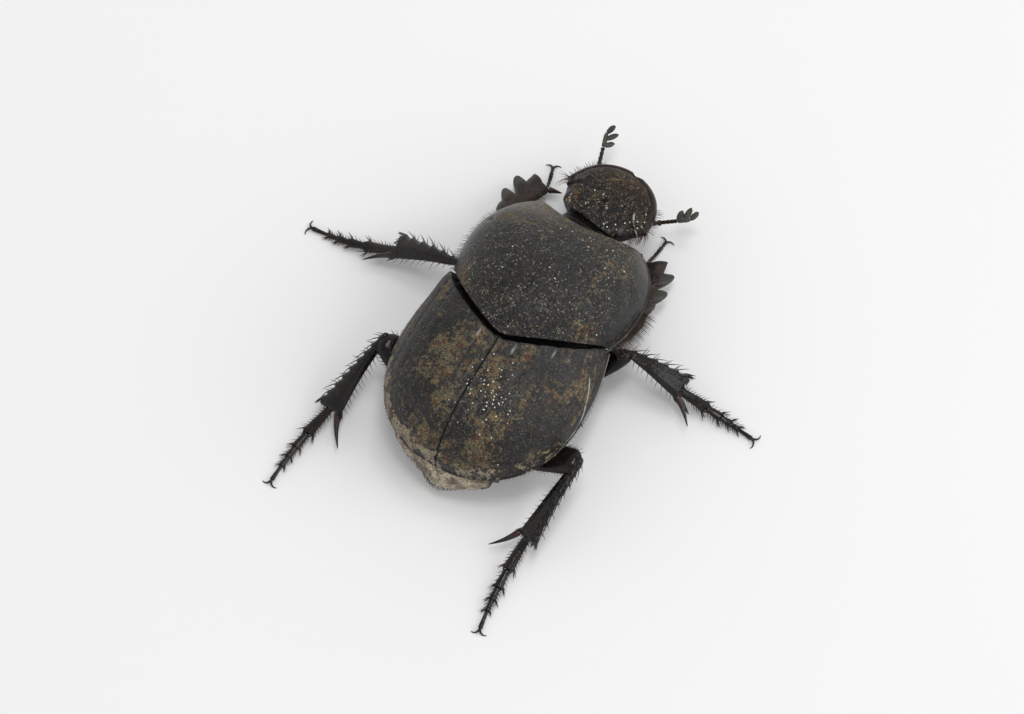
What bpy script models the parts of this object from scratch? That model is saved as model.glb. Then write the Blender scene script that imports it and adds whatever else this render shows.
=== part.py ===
"""A dung beetle of the Onthophagus kind, life size, standing still.

Body lengths are in millimetres in the beetle's own frame: x to its right, y forward from the rear corner of
the pronotum, z up from the floor. centre_on_floor() then shifts the finished animal to the part's origin.
"""
import math
from functools import partial

import bmesh
import bpy
from mathutils import Matrix, Vector

MM = 0.001
SIDES = {"left": -1, "right": 1}
ORIGIN = "dung_beetle"

# Pronotum: the big shield behind the head.
PRONOTUM_WIDTH = 6.2
PRONOTUM_LENGTH = 4.80
PRONOTUM_WIDEST_Y = 3.0
PRONOTUM_FRONT_Y = 5.30
PRONOTUM_BASE_CORNER_X = 2.86
PRONOTUM_BASE_SLOPE = 0.46
PRONOTUM_BASE_SWEEP = 0.38
PRONOTUM_FRONT_HOLLOW = 0.50
PRONOTUM_CREST_Z = 4.25
PRONOTUM_CREST_AT = 0.32
PRONOTUM_BASE_Z = 3.92
PRONOTUM_FRONT_Z = 2.90
PRONOTUM_MARGIN_BASE_Z = 2.30
PRONOTUM_MARGIN_FRONT_Z = 1.72
PRONOTUM_MARGIN_BEND = 0.7
PRONOTUM_FRONT_REACH = 2.75
PRONOTUM_SQUARENESS = 2.25
PRONOTUM_CROWN = 2.5
PRONOTUM_EDGE = 0.58
PRONOTUM_GRID = (13, 17)

# Elytra: the two wing cases.
ELYTRA_WIDTH = 6.60
ELYTRA_WIDEST_Y = -0.80
ELYTRA_TAIL_LENGTH = 3.52
ELYTRA_SHOULDER_PINCH = 0.42
ELYTRA_MARGIN_Z = 1.90
ELYTRA_HEIGHT = 1.93
ELYTRA_BASE_GAP = 0.12
ELYTRA_SHOULDER_REACH = 2.6
ELYTRA_SQUARENESS = 2.2
ELYTRA_CROWN = 3.0
ELYTRA_EDGE = 0.55
ELYTRON_GRID = (14, 9)
ELYTRON_ROW_BUNCHING = 1.1
SUTURE_HALF_GAP = 0.03

SHELL_THICKNESS = 0.40
INNER_CLEARANCE = 0.10

# Underside.
BELLY_Z = 0.75
BELLY_HALF_WIDTH = 2.70
BELLY_CURVE = 1.7
FLANK_Z = 1.80
FLANK_LIP = 0.12
PROTHORAX_ROOF_Z = (3.20, 2.35)
METATHORAX_ROOF_Z = (2.75, 3.10)
PROTHORAX_SPAN = (1.66, 4.42)
METATHORAX_SPAN = (-2.20, 1.56)
ABDOMEN_SPAN = (-3.85, -2.28)
ABDOMEN_ROOF_Z = (1.95, 2.75)
PYGIDIUM_TOP_Z = 1.80
PYGIDIUM_LOW_Z = 0.72
PYGIDIUM_HALF_WIDTH = 1.55
PYGIDIUM_Y = -4.50
PYGIDIUM_EDGE = 0.30
PYGIDIUM_DEPTH = 0.50
PYGIDIUM_TAPER = 0.5
PYGIDIUM_ROUNDNESS = 2.6
PYGIDIUM_CURL = 0.34
PYGIDIUM_LEAN = 0.10

# Head, in its own frame: pivot on the neck, y along the head, heights from the floor.
HEAD_PIVOT = (-0.13, 4.86)
HEAD_TURN = math.radians(-10.0)
HEAD_WIDTH = 3.14
HEAD_GENA_Y = 1.40
HEAD_CLYPEUS_LENGTH = 1.56
HEAD_TEMPLE_PINCH = 0.42
HEAD_TEMPLE_BEND = 0.85
HEAD_REAR_Y = 0.12
HEAD_REAR_HOLLOW = 0.30
HEAD_SQUARENESS = 2.1
HEAD_RIM_Z = 1.42
HEAD_SLOPE = 0.25
HEAD_DOME = 0.72
HEAD_CROWN = 2.2
HEAD_EDGE = 0.65
HEAD_RIM_THICKNESS = 0.30
HEAD_CHIN_DEPTH = 0.32
NOTCH_DEPTH = 0.10
NOTCH_WIDTH = 0.28
EYE_AT = (1.20, 0.78)
EYE_RADII = (0.17, 0.32, 0.26)
EYE_SINK = 0.6
SOCKET_GAP = 0.05
NECK_SPAN = (4.48, 4.84)
NECK_Z = 2.02
NECK_HALF_WIDTH = 1.05
NECK_HALF_DEPTH = 0.46
MOUTH_AT = (0.0, 1.55, 0.80)
MOUTH_RADII = (0.75, 0.80, 0.20)

# Antennae: emergence points and headings (degrees outward from the head's axis).
SCAPE_ROOT = (1.00, 1.78, 0.80)
ANTENNA_HEADING = {"left": (29.0, 24.0), "right": (38.0, 56.0)}
STEM_REACH = {"left": 1.58, "right": 1.22}
STEM_RADIUS = 0.25
STEM_RISE = 0.40
STEM_BEAD = 0.08
STEM_JOINTS = 7
CLUB_GAP = 0.05
CLUB_LENGTH = 0.62
CLUB_LEAVES = 3
CLUB_LEAF = 0.36
CLUB_CLEFT = 0.62
CLUB_BACK = 0.20
CLUB_SLANT = 0.35

# Legs: lengths of the segments, shared by the two sides.
HIP = {"fore": (1.22, 3.25, 0.66), "mid": (1.30, 0.12, 0.58), "hind": (0.95, -2.42, 0.55)}
FEMUR_LENGTH = {"fore": 1.70, "mid": 2.85, "hind": 3.06}
TIBIA_LENGTH = {"fore": 2.78, "mid": 2.24, "hind": 3.00}
TARSUS_LENGTH = {"fore": 0.80, "mid": 2.55, "hind": 2.80}
FEMUR_WIDTH = {"fore": 0.95, "mid": 0.95, "hind": 1.05}
LEG_THICKNESS = 0.52
FEET_RADIUS = 0.26
KNEE_GAP = 0.07
TIBIA_ROOT_RADIUS = 0.20
TIBIA_TIP_HALF_WIDTH = 0.48
COXA_AT = {"fore": (0.70, 3.25, 0.84), "mid": (0.80, 0.15, 0.84), "hind": (0.80, -1.72, 0.86)}
COXA_RADII = {"fore": (0.42, 0.45, 0.38), "mid": (0.38, 0.72, 0.34), "hind": (0.55, 0.30, 0.30)}
HIP_END_WIDTH = 0.55
LIMB_TIP = 0.14
DIGGING_BLADE = (0.20, 0.40)
DIGGING_INNER = (0.20, 0.38)
DIGGING_TILT = 0.12
DIGGING_SLANT = 0.45
DIGGING_TEETH = ((0.33, 0.46), (0.445, 0.75), (0.70, 0.83), (0.97, 0.38))
TOOTH_HALF_LENGTH = 0.09
TRUMPET = (0.44, 0.28, 0.28)
SAW_TOOTH = 0.07
SPUR_SIDE = {"fore": -1, "mid": 1, "hind": 1}
SPUR_RADII = (0.15, 0.05)
SPUR_DIP = -14
SPUR_FAN = 16
SPUR_INSET = 0.36
SPUR_START = 0.12
SECOND_SPUR_DROP = 0.26
SPUR_LENGTHS = {"fore": (0.36,), "mid": (1.00, 0.58), "hind": (1.05,)}
ANKLE_GAP = 0.10
FOOT_DROP = 2.2
FOOT_SINK = 0.92
FOOT_BEAD = 0.10
CLAW_GAP = 0.02
CLAW_RADIUS = 0.26
CLAW_WIDTH = 0.34
CLAW_TIP_TAPER = 0.6
CLAW_SWEEP = math.radians(105)
CLAW_HEIGHT = 0.46
ANKLE_INSET = {"fore": 0.22, "mid": 0.0, "hind": 0.0}

# The pose: heading (degrees outward from straight ahead) and rise (degrees above level) of the femur and the
# tibia, first and last heading of the foot with the share of its length that it reaches in plan, and the
# spread of the spurs.
POSE = {
    ("fore", "left"): {"femur": (72, 20), "tibia": (-10, -19), "tarsus": (19, 19, 1.0), "spur": 60},
    ("fore", "right"): {"femur": (90, 10), "tibia": (-22, -11), "tarsus": (2, 5, 1.0), "spur": 60},
    ("mid", "left"): {"femur": (45, 19), "tibia": (94, -21), "tarsus": (104, 92, 1.0), "spur": 28},
    ("mid", "right"): {"femur": (46, 21), "tibia": (87, -26), "tarsus": (88, 104, 0.92), "spur": 46},
    ("hind", "left"): {"femur": (68, 24), "tibia": (166, -27), "tarsus": (160, 180, 0.90), "spur": 44},
    ("hind", "right"): {"femur": (82, 25), "tibia": (190, -26), "tarsus": (188, 168, 1.0), "spur": 33},
}


# ---------------------------------------------------------------- helpers

def clear_scene():
    """Start from nothing: remove the objects that Blender opens with."""
    for thing in list(bpy.data.objects):
        bpy.data.objects.remove(thing, do_unlink=True)


def collection(name):
    """A new collection linked to the scene."""
    group = bpy.data.collections.new(name)
    bpy.context.scene.collection.children.link(group)
    return group


def make_material(name, colour, roughness):
    """A plain Principled material."""
    material = bpy.data.materials.new(name)
    material.use_nodes = True
    shader = material.node_tree.nodes["Principled BSDF"]
    shader.inputs["Base Color"].default_value = (*colour, 1.0)
    shader.inputs["Roughness"].default_value = roughness
    shader.inputs["Metallic"].default_value = 0.0
    material.diffuse_color = (*colour, 1.0)
    return material


def add_mesh(name, verts, faces, look, group):
    """A smooth-shaded object from points in millimetres."""
    mesh = bpy.data.meshes.new(name)
    mesh.from_pydata([tuple(MM * c for c in v) for v in verts], [], faces)
    shaper = bmesh.new()
    shaper.from_mesh(mesh)
    bmesh.ops.recalc_face_normals(shaper, faces=shaper.faces)
    shaper.to_mesh(mesh)
    shaper.free()
    mesh.shade_smooth()
    mesh.set_sharp_from_angle(angle=math.radians(50))
    mesh.materials.append(look)
    thing = bpy.data.objects.new(name, mesh)
    group.objects.link(thing)
    return thing


def lerp(a, b, t):
    """Straight blend from a to b."""
    return a + (b - a) * t


def clamp(t, low=0.0, high=1.0):
    """t kept between low and high."""
    return max(low, min(high, t))


def grid_faces(rows, cols, start=0):
    """Quads of a rows x cols grid of points."""
    faces = []
    for r in range(rows - 1):
        for c in range(cols - 1):
            near = start + r * cols + c
            far = near + cols
            faces.append((near, near + 1, far + 1, far))
    return faces


def grid_border(rows, cols):
    """Indices round the edge of a rows x cols grid, in order."""
    south = list(range(cols))
    east = [r * cols + cols - 1 for r in range(1, rows)]
    north = [(rows - 1) * cols + c for c in range(cols - 2, -1, -1)]
    west = [r * cols for r in range(rows - 2, 0, -1)]
    return south + east + north + west


def slab(name, upper, lower, rows, cols, look, group):
    """A closed body between two surfaces given as functions of (s, u), with s and u from 0 to 1."""
    verts = []
    for surface in (upper, lower):
        for r in range(rows):
            for c in range(cols):
                verts.append(surface(r / (rows - 1), c / (cols - 1)))
    count = rows * cols
    faces = grid_faces(rows, cols)
    faces += [tuple(reversed(face)) for face in grid_faces(rows, cols, count)]
    rim = grid_border(rows, cols)
    for a, b in zip(rim, rim[1:] + rim[:1]):
        faces.append((b, a, a + count, b + count))
    return add_mesh(name, verts, faces, look, group)


def ring_loft(name, rings, look, group):
    """A closed body through rings of equal point counts, capped at both ends."""
    sides = len(rings[0])
    verts = [point for ring in rings for point in ring]
    faces = []
    for r in range(len(rings) - 1):
        for c in range(sides):
            d = (c + 1) % sides
            faces.append((r * sides + c, r * sides + d, (r + 1) * sides + d, (r + 1) * sides + c))
    faces.append(tuple(range(sides - 1, -1, -1)))
    faces.append(tuple(range(len(verts) - sides, len(verts))))
    return add_mesh(name, verts, faces, look, group)


def limb(name, path, outer, inner, depth, across, look, group, sides=8, slant=0.0):
    """A loft along a path. At each point it reaches outer to one side and inner to the other, along the
    across direction, and is 2 x depth thick. slant sweeps the outer edge on. It stays above z = 0."""
    rings = []
    for i, centre in enumerate(path):
        before = path[max(i - 1, 0)]
        after = path[min(i + 1, len(path) - 1)]
        along = (after - before).normalized()
        side = (across - along * across.dot(along)).normalized()
        up = along.cross(side)
        ring = []
        for k in range(sides):
            angle = 2.0 * math.pi * (k + 0.5) / sides
            c, s = math.cos(angle), math.sin(angle)
            reach = outer[i] if c > 0 else inner[i]
            point = centre + side * (reach * c) + up * (depth[i] * s)
            if c > 0:
                point += along * (slant * reach * c)
            point.z = max(point.z, 0.0)
            ring.append(point)
        rings.append(ring)
    return ring_loft(name, rings, look, group)


def tube(name, path, radii, look, group, sides=8):
    """A round limb."""
    across = Vector((0.0, 0.0, 1.0))
    return limb(name, path, radii, radii, radii, across, look, group, sides)


def ellipsoid(name, centre, radii, look, group, segments=12, rings=8, turn=0.0):
    """A squashed sphere turned about z."""
    shaper = bmesh.new()
    bmesh.ops.create_uvsphere(shaper, u_segments=segments, v_segments=rings, radius=1.0)
    shape = Matrix.Translation(Vector(centre) * MM) @ Matrix.Rotation(turn, 4, "Z")
    shape = shape @ Matrix.Diagonal((radii[0] * MM, radii[1] * MM, radii[2] * MM, 1.0))
    bmesh.ops.transform(shaper, matrix=shape, verts=shaper.verts)
    mesh = bpy.data.meshes.new(name)
    shaper.to_mesh(mesh)
    shaper.free()
    mesh.shade_smooth()
    mesh.materials.append(look)
    thing = bpy.data.objects.new(name, mesh)
    group.objects.link(thing)
    return thing


def cut_socket(body, centre, radii, cutters, turn=0.0):
    """Hollow a seat in a body for an ellipsoid, wider than it by the socket gap."""
    wider = tuple(r + SOCKET_GAP for r in radii)
    cutter = ellipsoid("cut_" + body.name, centre, wider, body.data.materials[0], cutters, turn=turn)
    cutter.hide_render = True
    cutter.display_type = "WIRE"
    cut = body.modifiers.new("socket", "BOOLEAN")
    cut.operation = "DIFFERENCE"
    cut.object = cutter


def heading_vector(side, heading, rise):
    """Unit direction: heading outward from straight ahead on that side, rise above level, in degrees."""
    h, p = math.radians(heading), math.radians(rise)
    return Vector((SIDES[side] * math.sin(h) * math.cos(p), math.cos(h) * math.cos(p), math.sin(p)))


# ---------------------------------------------------------------- shape of the shell plates

def dome(radius, crown, edge):
    """Height of a shell from 1 at its crown to 0 at its margin."""
    return (1.0 - clamp(radius) ** crown) ** edge


def rounded(t, power):
    """Outline of a rounded end: 1 at its root, 0 at its tip."""
    return (1.0 - abs(t) ** power) ** (1 / power)


def pronotum_base_y(x):
    """The rear margin: two nearly straight arms that meet in a blunt corner at the midline."""
    span = abs(x) / PRONOTUM_BASE_CORNER_X
    return PRONOTUM_BASE_SLOPE * abs(x) + PRONOTUM_BASE_SWEEP * span ** 5


def pronotum_half_width(y):
    """Half width of the pronotum at its side margin."""
    if y < PRONOTUM_WIDEST_Y:
        pinch = (PRONOTUM_WIDEST_Y - y) / (PRONOTUM_WIDEST_Y - pronotum_base_y(PRONOTUM_BASE_CORNER_X))
        return lerp(PRONOTUM_WIDTH / 2, PRONOTUM_BASE_CORNER_X, pinch ** 2)
    ahead = (y - PRONOTUM_WIDEST_Y) / PRONOTUM_FRONT_REACH
    return PRONOTUM_WIDTH / 2 * rounded(ahead, PRONOTUM_SQUARENESS)


def pronotum_point(s, v):
    """A point of the pronotum: s from its base to its front, v from left to right."""
    u = math.sin((v - 0.5) * math.pi)
    corner_y = pronotum_base_y(PRONOTUM_BASE_CORNER_X)
    margin_y = lerp(corner_y, PRONOTUM_FRONT_Y, s)
    half = pronotum_half_width(margin_y)
    x = u * half
    front_y = PRONOTUM_LENGTH + PRONOTUM_FRONT_HOLLOW * u * u
    y = lerp(pronotum_base_y(u * PRONOTUM_BASE_CORNER_X), front_y, s)
    if s < PRONOTUM_CREST_AT:
        fall = ((PRONOTUM_CREST_AT - s) / PRONOTUM_CREST_AT) ** 2
        crest = lerp(PRONOTUM_CREST_Z, PRONOTUM_BASE_Z, fall)
    else:
        fall = ((s - PRONOTUM_CREST_AT) / (1.0 - PRONOTUM_CREST_AT)) ** 2
        crest = lerp(PRONOTUM_CREST_Z, PRONOTUM_FRONT_Z, fall)
    margin = lerp(PRONOTUM_MARGIN_BASE_Z, PRONOTUM_MARGIN_FRONT_Z, s ** PRONOTUM_MARGIN_BEND)
    z = lerp(margin, crest, dome(abs(u), PRONOTUM_CROWN, PRONOTUM_EDGE))
    return Vector((x, y, z))


def elytra_radius(x, y):
    """0 on the ridge of the wing cases, 1 on their margin."""
    if y >= ELYTRA_WIDEST_Y:
        return abs(x) / elytra_half_width(y)
    across = abs(x) / (ELYTRA_WIDTH / 2)
    back = (ELYTRA_WIDEST_Y - y) / ELYTRA_TAIL_LENGTH
    return (across ** ELYTRA_SQUARENESS + back ** ELYTRA_SQUARENESS) ** (1 / ELYTRA_SQUARENESS)


def elytra_half_width(y):
    """Half width ahead of the widest place, narrowing to the shoulders."""
    pinch = clamp((y - ELYTRA_WIDEST_Y) / ELYTRA_SHOULDER_REACH)
    return ELYTRA_WIDTH / 2 - ELYTRA_SHOULDER_PINCH * pinch ** 2


def elytron_point(side, s, v):
    """A point of a wing case: s from its base to its tip, v from the suture to the side margin."""
    u = math.sin(v * math.pi / 2)
    base_y = pronotum_base_y(u * PRONOTUM_BASE_CORNER_X) - ELYTRA_BASE_GAP
    tail_y = ELYTRA_WIDEST_Y - ELYTRA_TAIL_LENGTH * rounded(u, ELYTRA_SQUARENESS)
    y = lerp(base_y, tail_y, math.sin(s * math.pi / 2) ** ELYTRON_ROW_BUNCHING)
    x = max(u * elytra_half_width(y), SUTURE_HALF_GAP)
    z = ELYTRA_MARGIN_Z + ELYTRA_HEIGHT * dome(elytra_radius(x, y), ELYTRA_CROWN, ELYTRA_EDGE)
    return Vector((SIDES[side] * x, y, z))


def shell(thing):
    """Give an open surface the thickness of a shell plate, inward."""
    thick = thing.modifiers.new("thickness", "SOLIDIFY")
    thick.thickness = SHELL_THICKNESS * MM
    thick.offset = -1.0
    return thing


def open_surface(name, point, grid, look, group):
    """An open grid from a function of (s, v)."""
    rows, cols = grid
    verts = [point(r / (rows - 1), c / (cols - 1)) for r in range(rows) for c in range(cols)]
    return add_mesh(name, verts, grid_faces(rows, cols), look, group)


def build_pronotum(look, group):
    """The shield of the front body."""
    return shell(open_surface("pronotum", pronotum_point, PRONOTUM_GRID, look, group))


def build_elytra(look, group):
    """The two wing cases, meeting at the suture."""
    for side in SIDES:
        shell(open_surface("elytron_" + side, partial(elytron_point, side), ELYTRON_GRID, look, group))


# ---------------------------------------------------------------- the trunk inside and beneath the shell

def belly_z(x):
    """Height of the underside."""
    return lerp(BELLY_Z, FLANK_Z, clamp(abs(x) / BELLY_HALF_WIDTH) ** BELLY_CURVE)


def trunk_half_width(y):
    """Half width of the trunk, inside the shell plates."""
    inset = SHELL_THICKNESS + INNER_CLEARANCE
    if y > PROTHORAX_SPAN[0]:
        return pronotum_half_width(y) - inset
    if y >= ELYTRA_WIDEST_Y:
        return elytra_half_width(y) - inset
    back = (ELYTRA_WIDEST_Y - y) / (ELYTRA_TAIL_LENGTH - inset / 2)
    return (ELYTRA_WIDTH / 2 - inset) * rounded(back, ELYTRA_SQUARENESS)


def trunk_section(name, span, roof, look, group, rows=6, cols=11):
    """One length of the trunk between two cross planes."""
    def place(s, v):
        y = lerp(span[0], span[1], s)
        u = math.sin((v - 0.5) * math.pi)
        return u, u * trunk_half_width(y), y

    def upper(s, v):
        u, x, y = place(s, v)
        return Vector((x, y, lerp(FLANK_Z + FLANK_LIP, lerp(roof[0], roof[1], s), rounded(u, 2.0))))

    def lower(s, v):
        x, y = place(s, v)[1:]
        return Vector((x, y, belly_z(x)))

    return slab(name, upper, lower, rows, cols, look, group)


def build_pygidium(look, group):
    """The tail plate below the tips of the wing cases."""
    def front(s, v):
        z = lerp(PYGIDIUM_LOW_Z, PYGIDIUM_TOP_Z, s)
        u = math.sin((v - 0.5) * math.pi)
        half = PYGIDIUM_HALF_WIDTH * (1.0 - PYGIDIUM_TAPER * (1.0 - s) ** PYGIDIUM_ROUNDNESS)
        y = PYGIDIUM_Y + PYGIDIUM_CURL * u * u + PYGIDIUM_LEAN * s * s
        return Vector((u * half, y, z))

    def back(s, v):
        middle = math.sin(v * math.pi) ** 3
        return front(s, v) + Vector((0.0, lerp(PYGIDIUM_EDGE, PYGIDIUM_DEPTH, middle), 0.0))

    return slab("pygidium", front, back, 6, 9, look, group)


# ---------------------------------------------------------------- head

def head_matrix():
    """From the head's own frame to the body's."""
    return Matrix.Translation((HEAD_PIVOT[0], HEAD_PIVOT[1], 0.0)) @ Matrix.Rotation(HEAD_TURN, 4, "Z")


def head_half_width(y):
    """Half width of the head at y: widest at the cheek corners, pinched at the temples."""
    behind = clamp((HEAD_GENA_Y - y) / (HEAD_GENA_Y - HEAD_REAR_Y))
    return HEAD_WIDTH / 2 - HEAD_TEMPLE_PINCH * behind ** HEAD_TEMPLE_BEND


def head_front_y(u):
    """Front margin of the clypeus, with a shallow notch in the middle."""
    arc = HEAD_GENA_Y + HEAD_CLYPEUS_LENGTH * rounded(u, HEAD_SQUARENESS)
    return arc - NOTCH_DEPTH * math.exp(-(u * HEAD_WIDTH / 2 / NOTCH_WIDTH) ** 2)


def head_place(s, v):
    """x, y of a head point: s from the rear to the front margin, v from left to right."""
    u = math.sin((v - 0.5) * math.pi)
    rear_y = HEAD_REAR_Y + HEAD_REAR_HOLLOW * u ** 4
    y = lerp(rear_y, head_front_y(u), math.sin(s * math.pi / 2))
    return u * head_half_width(y), y


def head_rim_z(y):
    """Height of the rim, which drops towards the mouth."""
    return HEAD_RIM_Z + HEAD_SLOPE * (HEAD_GENA_Y + HEAD_CLYPEUS_LENGTH - y)


def head_radius(x, y):
    """0 at the middle of the head, 1 at its margin."""
    across = abs(x) / head_half_width(y)
    ahead = clamp((y - HEAD_GENA_Y) / HEAD_CLYPEUS_LENGTH)
    return clamp((across ** HEAD_SQUARENESS + ahead ** HEAD_SQUARENESS) ** (1 / HEAD_SQUARENESS))


def head_top_z(x, y):
    """Height of the top of the head in its own frame."""
    return head_rim_z(y) + HEAD_DOME * dome(head_radius(x, y), HEAD_CROWN, HEAD_EDGE)


def head_upper(s, v):
    """Top of the head."""
    x, y = head_place(s, v)
    return head_matrix() @ Vector((x, y, head_top_z(x, y)))


def head_lower(s, v):
    """Underside of the head."""
    x, y = head_place(s, v)
    drop = HEAD_RIM_THICKNESS + HEAD_CHIN_DEPTH * dome(head_radius(x, y), 2.0, 0.8)
    return head_matrix() @ Vector((x, y, head_rim_z(y) - drop))


def build_head(looks, group, cutters):
    """Head shield, eyes, mouthparts and neck."""
    head = slab("head", head_upper, head_lower, 10, 15, looks["cuticle"], group)
    for side, sign in SIDES.items():
        x, y = sign * EYE_AT[0], EYE_AT[1]
        z = head_top_z(x, y) - EYE_SINK * EYE_RADII[2]
        centre = head_matrix() @ Vector((x, y, z))
        ellipsoid("eye_" + side, centre, EYE_RADII, looks["eye"], group, 10, 6, HEAD_TURN)
        cut_socket(head, centre, EYE_RADII, cutters, HEAD_TURN)
    mouth = head_matrix() @ Vector(MOUTH_AT)
    ellipsoid("mouthparts", mouth, MOUTH_RADII, looks["membrane"], group, 12, 6, HEAD_TURN)
    neck = along(Vector((0.0, NECK_SPAN[0], NECK_Z)), Vector((0, 1, 0)), NECK_SPAN[1] - NECK_SPAN[0], 3)
    half, depth = [NECK_HALF_WIDTH] * 3, [NECK_HALF_DEPTH] * 3
    limb("neck", neck, half, half, depth, Vector((1, 0, 0)), looks["cuticle"], group, 12)


def build_antenna(side, look, club_look, group):
    """Scape and funicle as one stem, and the leaved club."""
    sign = SIDES[side]
    path = [Vector((sign * SCAPE_ROOT[0], SCAPE_ROOT[1], SCAPE_ROOT[2]))]
    first, last = ANTENNA_HEADING[side]
    for i in range(STEM_JOINTS):
        turn = math.radians(lerp(first, last, i / (STEM_JOINTS - 1)))
        rise = STEM_RISE * (i / STEM_JOINTS) ** 1.5
        step = Vector((sign * math.sin(turn), math.cos(turn), rise)) * (STEM_REACH[side] / STEM_JOINTS)
        path.append(path[-1] + step)
    place = head_matrix()
    radii = [STEM_RADIUS * (1.0 if i % 2 else 1.0 - STEM_BEAD) for i in range(len(path))]
    tube("antenna_stem_" + side, [place @ p for p in path], radii, look, group, 7)
    ahead = (path[-1] - path[-2]).normalized()
    stations = 2 * CLUB_LEAVES + 1
    club = [place @ p for p in along(path[-1] + ahead * CLUB_GAP, ahead, CLUB_LENGTH, stations)]
    outer = [CLUB_LEAF * (1.0 if i % 2 else CLUB_CLEFT) for i in range(stations)]
    across = place.to_3x3() @ Vector((-sign * ahead.y, sign * ahead.x, STEM_RADIUS))
    inner, depth = [CLUB_BACK] * stations, [STEM_RADIUS] * stations
    limb("antenna_club_" + side, club, outer, inner, depth, across, club_look, group, 8, CLUB_SLANT)


# ---------------------------------------------------------------- legs

def along(start, direction, length, steps):
    """Points from start along a direction."""
    return [start + direction * (length * i / (steps - 1)) for i in range(steps)]


def rounded_tip(t, share):
    """1 along a limb, falling to a half at its very end."""
    return 1.0 - 0.5 * clamp((t - 1.0 + share) / share) ** 2


def femur_profile(t):
    """Relative width of a femur: narrow at the hip, full in the middle, rounded at the knee."""
    swell = math.sin(math.pi * clamp(t * 0.88 + 0.04)) ** 0.7
    return lerp(HIP_END_WIDTH, 1.0, swell) * rounded_tip(t, LIMB_TIP)


def knee_point(hip_end, femur_direction, tibia_direction):
    """Where the shin starts: past the end of the thigh, further for a sharper bend."""
    bend = femur_direction.angle(tibia_direction)
    return hip_end + femur_direction * (KNEE_GAP + TIBIA_ROOT_RADIUS * math.sin(bend))


def build_femur(pair, side, look, group):
    """Thigh, a flat spindle; returns the knee."""
    hip = Vector((SIDES[side] * HIP[pair][0], HIP[pair][1], HIP[pair][2]))
    direction = heading_vector(side, *POSE[pair, side]["femur"])
    path = along(hip, direction, FEMUR_LENGTH[pair], 9)
    width = [FEMUR_WIDTH[pair] / 2 * femur_profile(i / 8) for i in range(9)]
    depth = [LEG_THICKNESS / 2 * rounded_tip(i / 8, LIMB_TIP) for i in range(9)]
    across = Vector((0.0, 1.0, 0.0))
    limb(f"femur_{pair}_{side}", path, width, width, depth, across, look, group)
    return knee_point(path[-1], direction, heading_vector(side, *POSE[pair, side]["tibia"]))


def fore_tibia_outer(t):
    """Reach of the digging shin's outer edge: a widening blade with four teeth."""
    blade = lerp(*DIGGING_BLADE, t)
    tooth = 0.0
    for place, reach in DIGGING_TEETH:
        rise = clamp(1.0 - abs(t - place) / TOOTH_HALF_LENGTH)
        tooth = max(tooth, rise * (reach - lerp(*DIGGING_BLADE, place)))
    return blade + tooth


def build_fore_tibia(side, knee, look, group):
    """Digging shin: a broad toothed blade; returns the ankle and its direction."""
    direction = heading_vector(side, *POSE["fore", side]["tibia"])
    stations = 24
    path = along(knee, direction, TIBIA_LENGTH["fore"], stations)
    outer = [fore_tibia_outer(i / (stations - 1)) for i in range(stations)]
    inner = [lerp(*DIGGING_INNER, i / (stations - 1)) for i in range(stations)]
    depth = [LEG_THICKNESS / 2 * rounded_tip(1.0 - i / (stations - 1), 0.10) for i in range(stations)]
    across = Vector((SIDES[side], 0.0, DIGGING_TILT))
    limb("tibia_fore_" + side, path, outer, inner, depth, across, look, group, 6, DIGGING_SLANT)
    return path[-1], direction


def trumpet(t):
    """Relative half width of a walking shin: slim at the knee, flared at the tip."""
    root, cone, flare = TRUMPET
    return (root + cone * t + flare * t ** 5) * rounded_tip(1.0 - t, 0.08)


def build_walking_tibia(pair, side, knee, look, group):
    """Mid or hind shin: a trumpet with a saw-toothed outer edge; returns the ankle and its direction."""
    direction = heading_vector(side, *POSE[pair, side]["tibia"])
    stations = 13
    path = along(knee, direction, TIBIA_LENGTH[pair], stations)
    width = [TIBIA_TIP_HALF_WIDTH * trumpet(i / (stations - 1)) for i in range(stations)]
    saw = [w + (SAW_TOOTH if i % 3 == 2 else 0.0) for i, w in enumerate(width)]
    depth = [LEG_THICKNESS / 2 * rounded_tip(1.0 - i / (stations - 1), 0.08) for i in range(stations)]
    across = heading_vector(side, POSE[pair, side]["tibia"][0] - 90, 0)
    limb(f"tibia_{pair}_{side}", path, saw, width, depth, across, look, group, 8)
    return path[-1], direction


def tarsus_path(pair, side, ankle, steps=11):
    """Five foot joints in one sweep from the ankle down to the floor."""
    first, last, reach = POSE[pair, side]["tarsus"]
    length = TARSUS_LENGTH[pair] * reach
    path = [ankle.copy()]
    for i in range(1, steps):
        t = i / (steps - 1)
        turn = heading_vector(side, lerp(first, last, (i - 0.5) / (steps - 1)), 0)
        point = path[-1] + turn * (length / (steps - 1))
        point.z = lerp(FEET_RADIUS * FOOT_SINK, ankle.z, (1.0 - t) ** FOOT_DROP)
        path.append(point)
    return path


def build_foot(pair, side, ankle, direction, look, group):
    """Tarsus and its pair of claws, flat where they stand on the floor."""
    inward = direction.cross(Vector((0.0, 0.0, -SIDES[side]))).normalized()
    start = ankle + direction * ANKLE_GAP + inward * ANKLE_INSET[pair]
    start.z = max(start.z, FEET_RADIUS)
    path = tarsus_path(pair, side, start)
    radii = [FEET_RADIUS * (1.0 if i % 2 else 1.0 - FOOT_BEAD) for i in range(len(path))]
    across = Vector((0.0, 0.0, 1.0))
    limb(f"tarsus_{pair}_{side}", path, radii, radii, radii, across, look, group, 8)
    ahead = (path[-1] - path[-2]).normalized()
    ahead.z = 0.0
    build_claws(f"claws_{pair}_{side}", path[-1] + ahead * CLAW_GAP, ahead, look, group)


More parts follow.
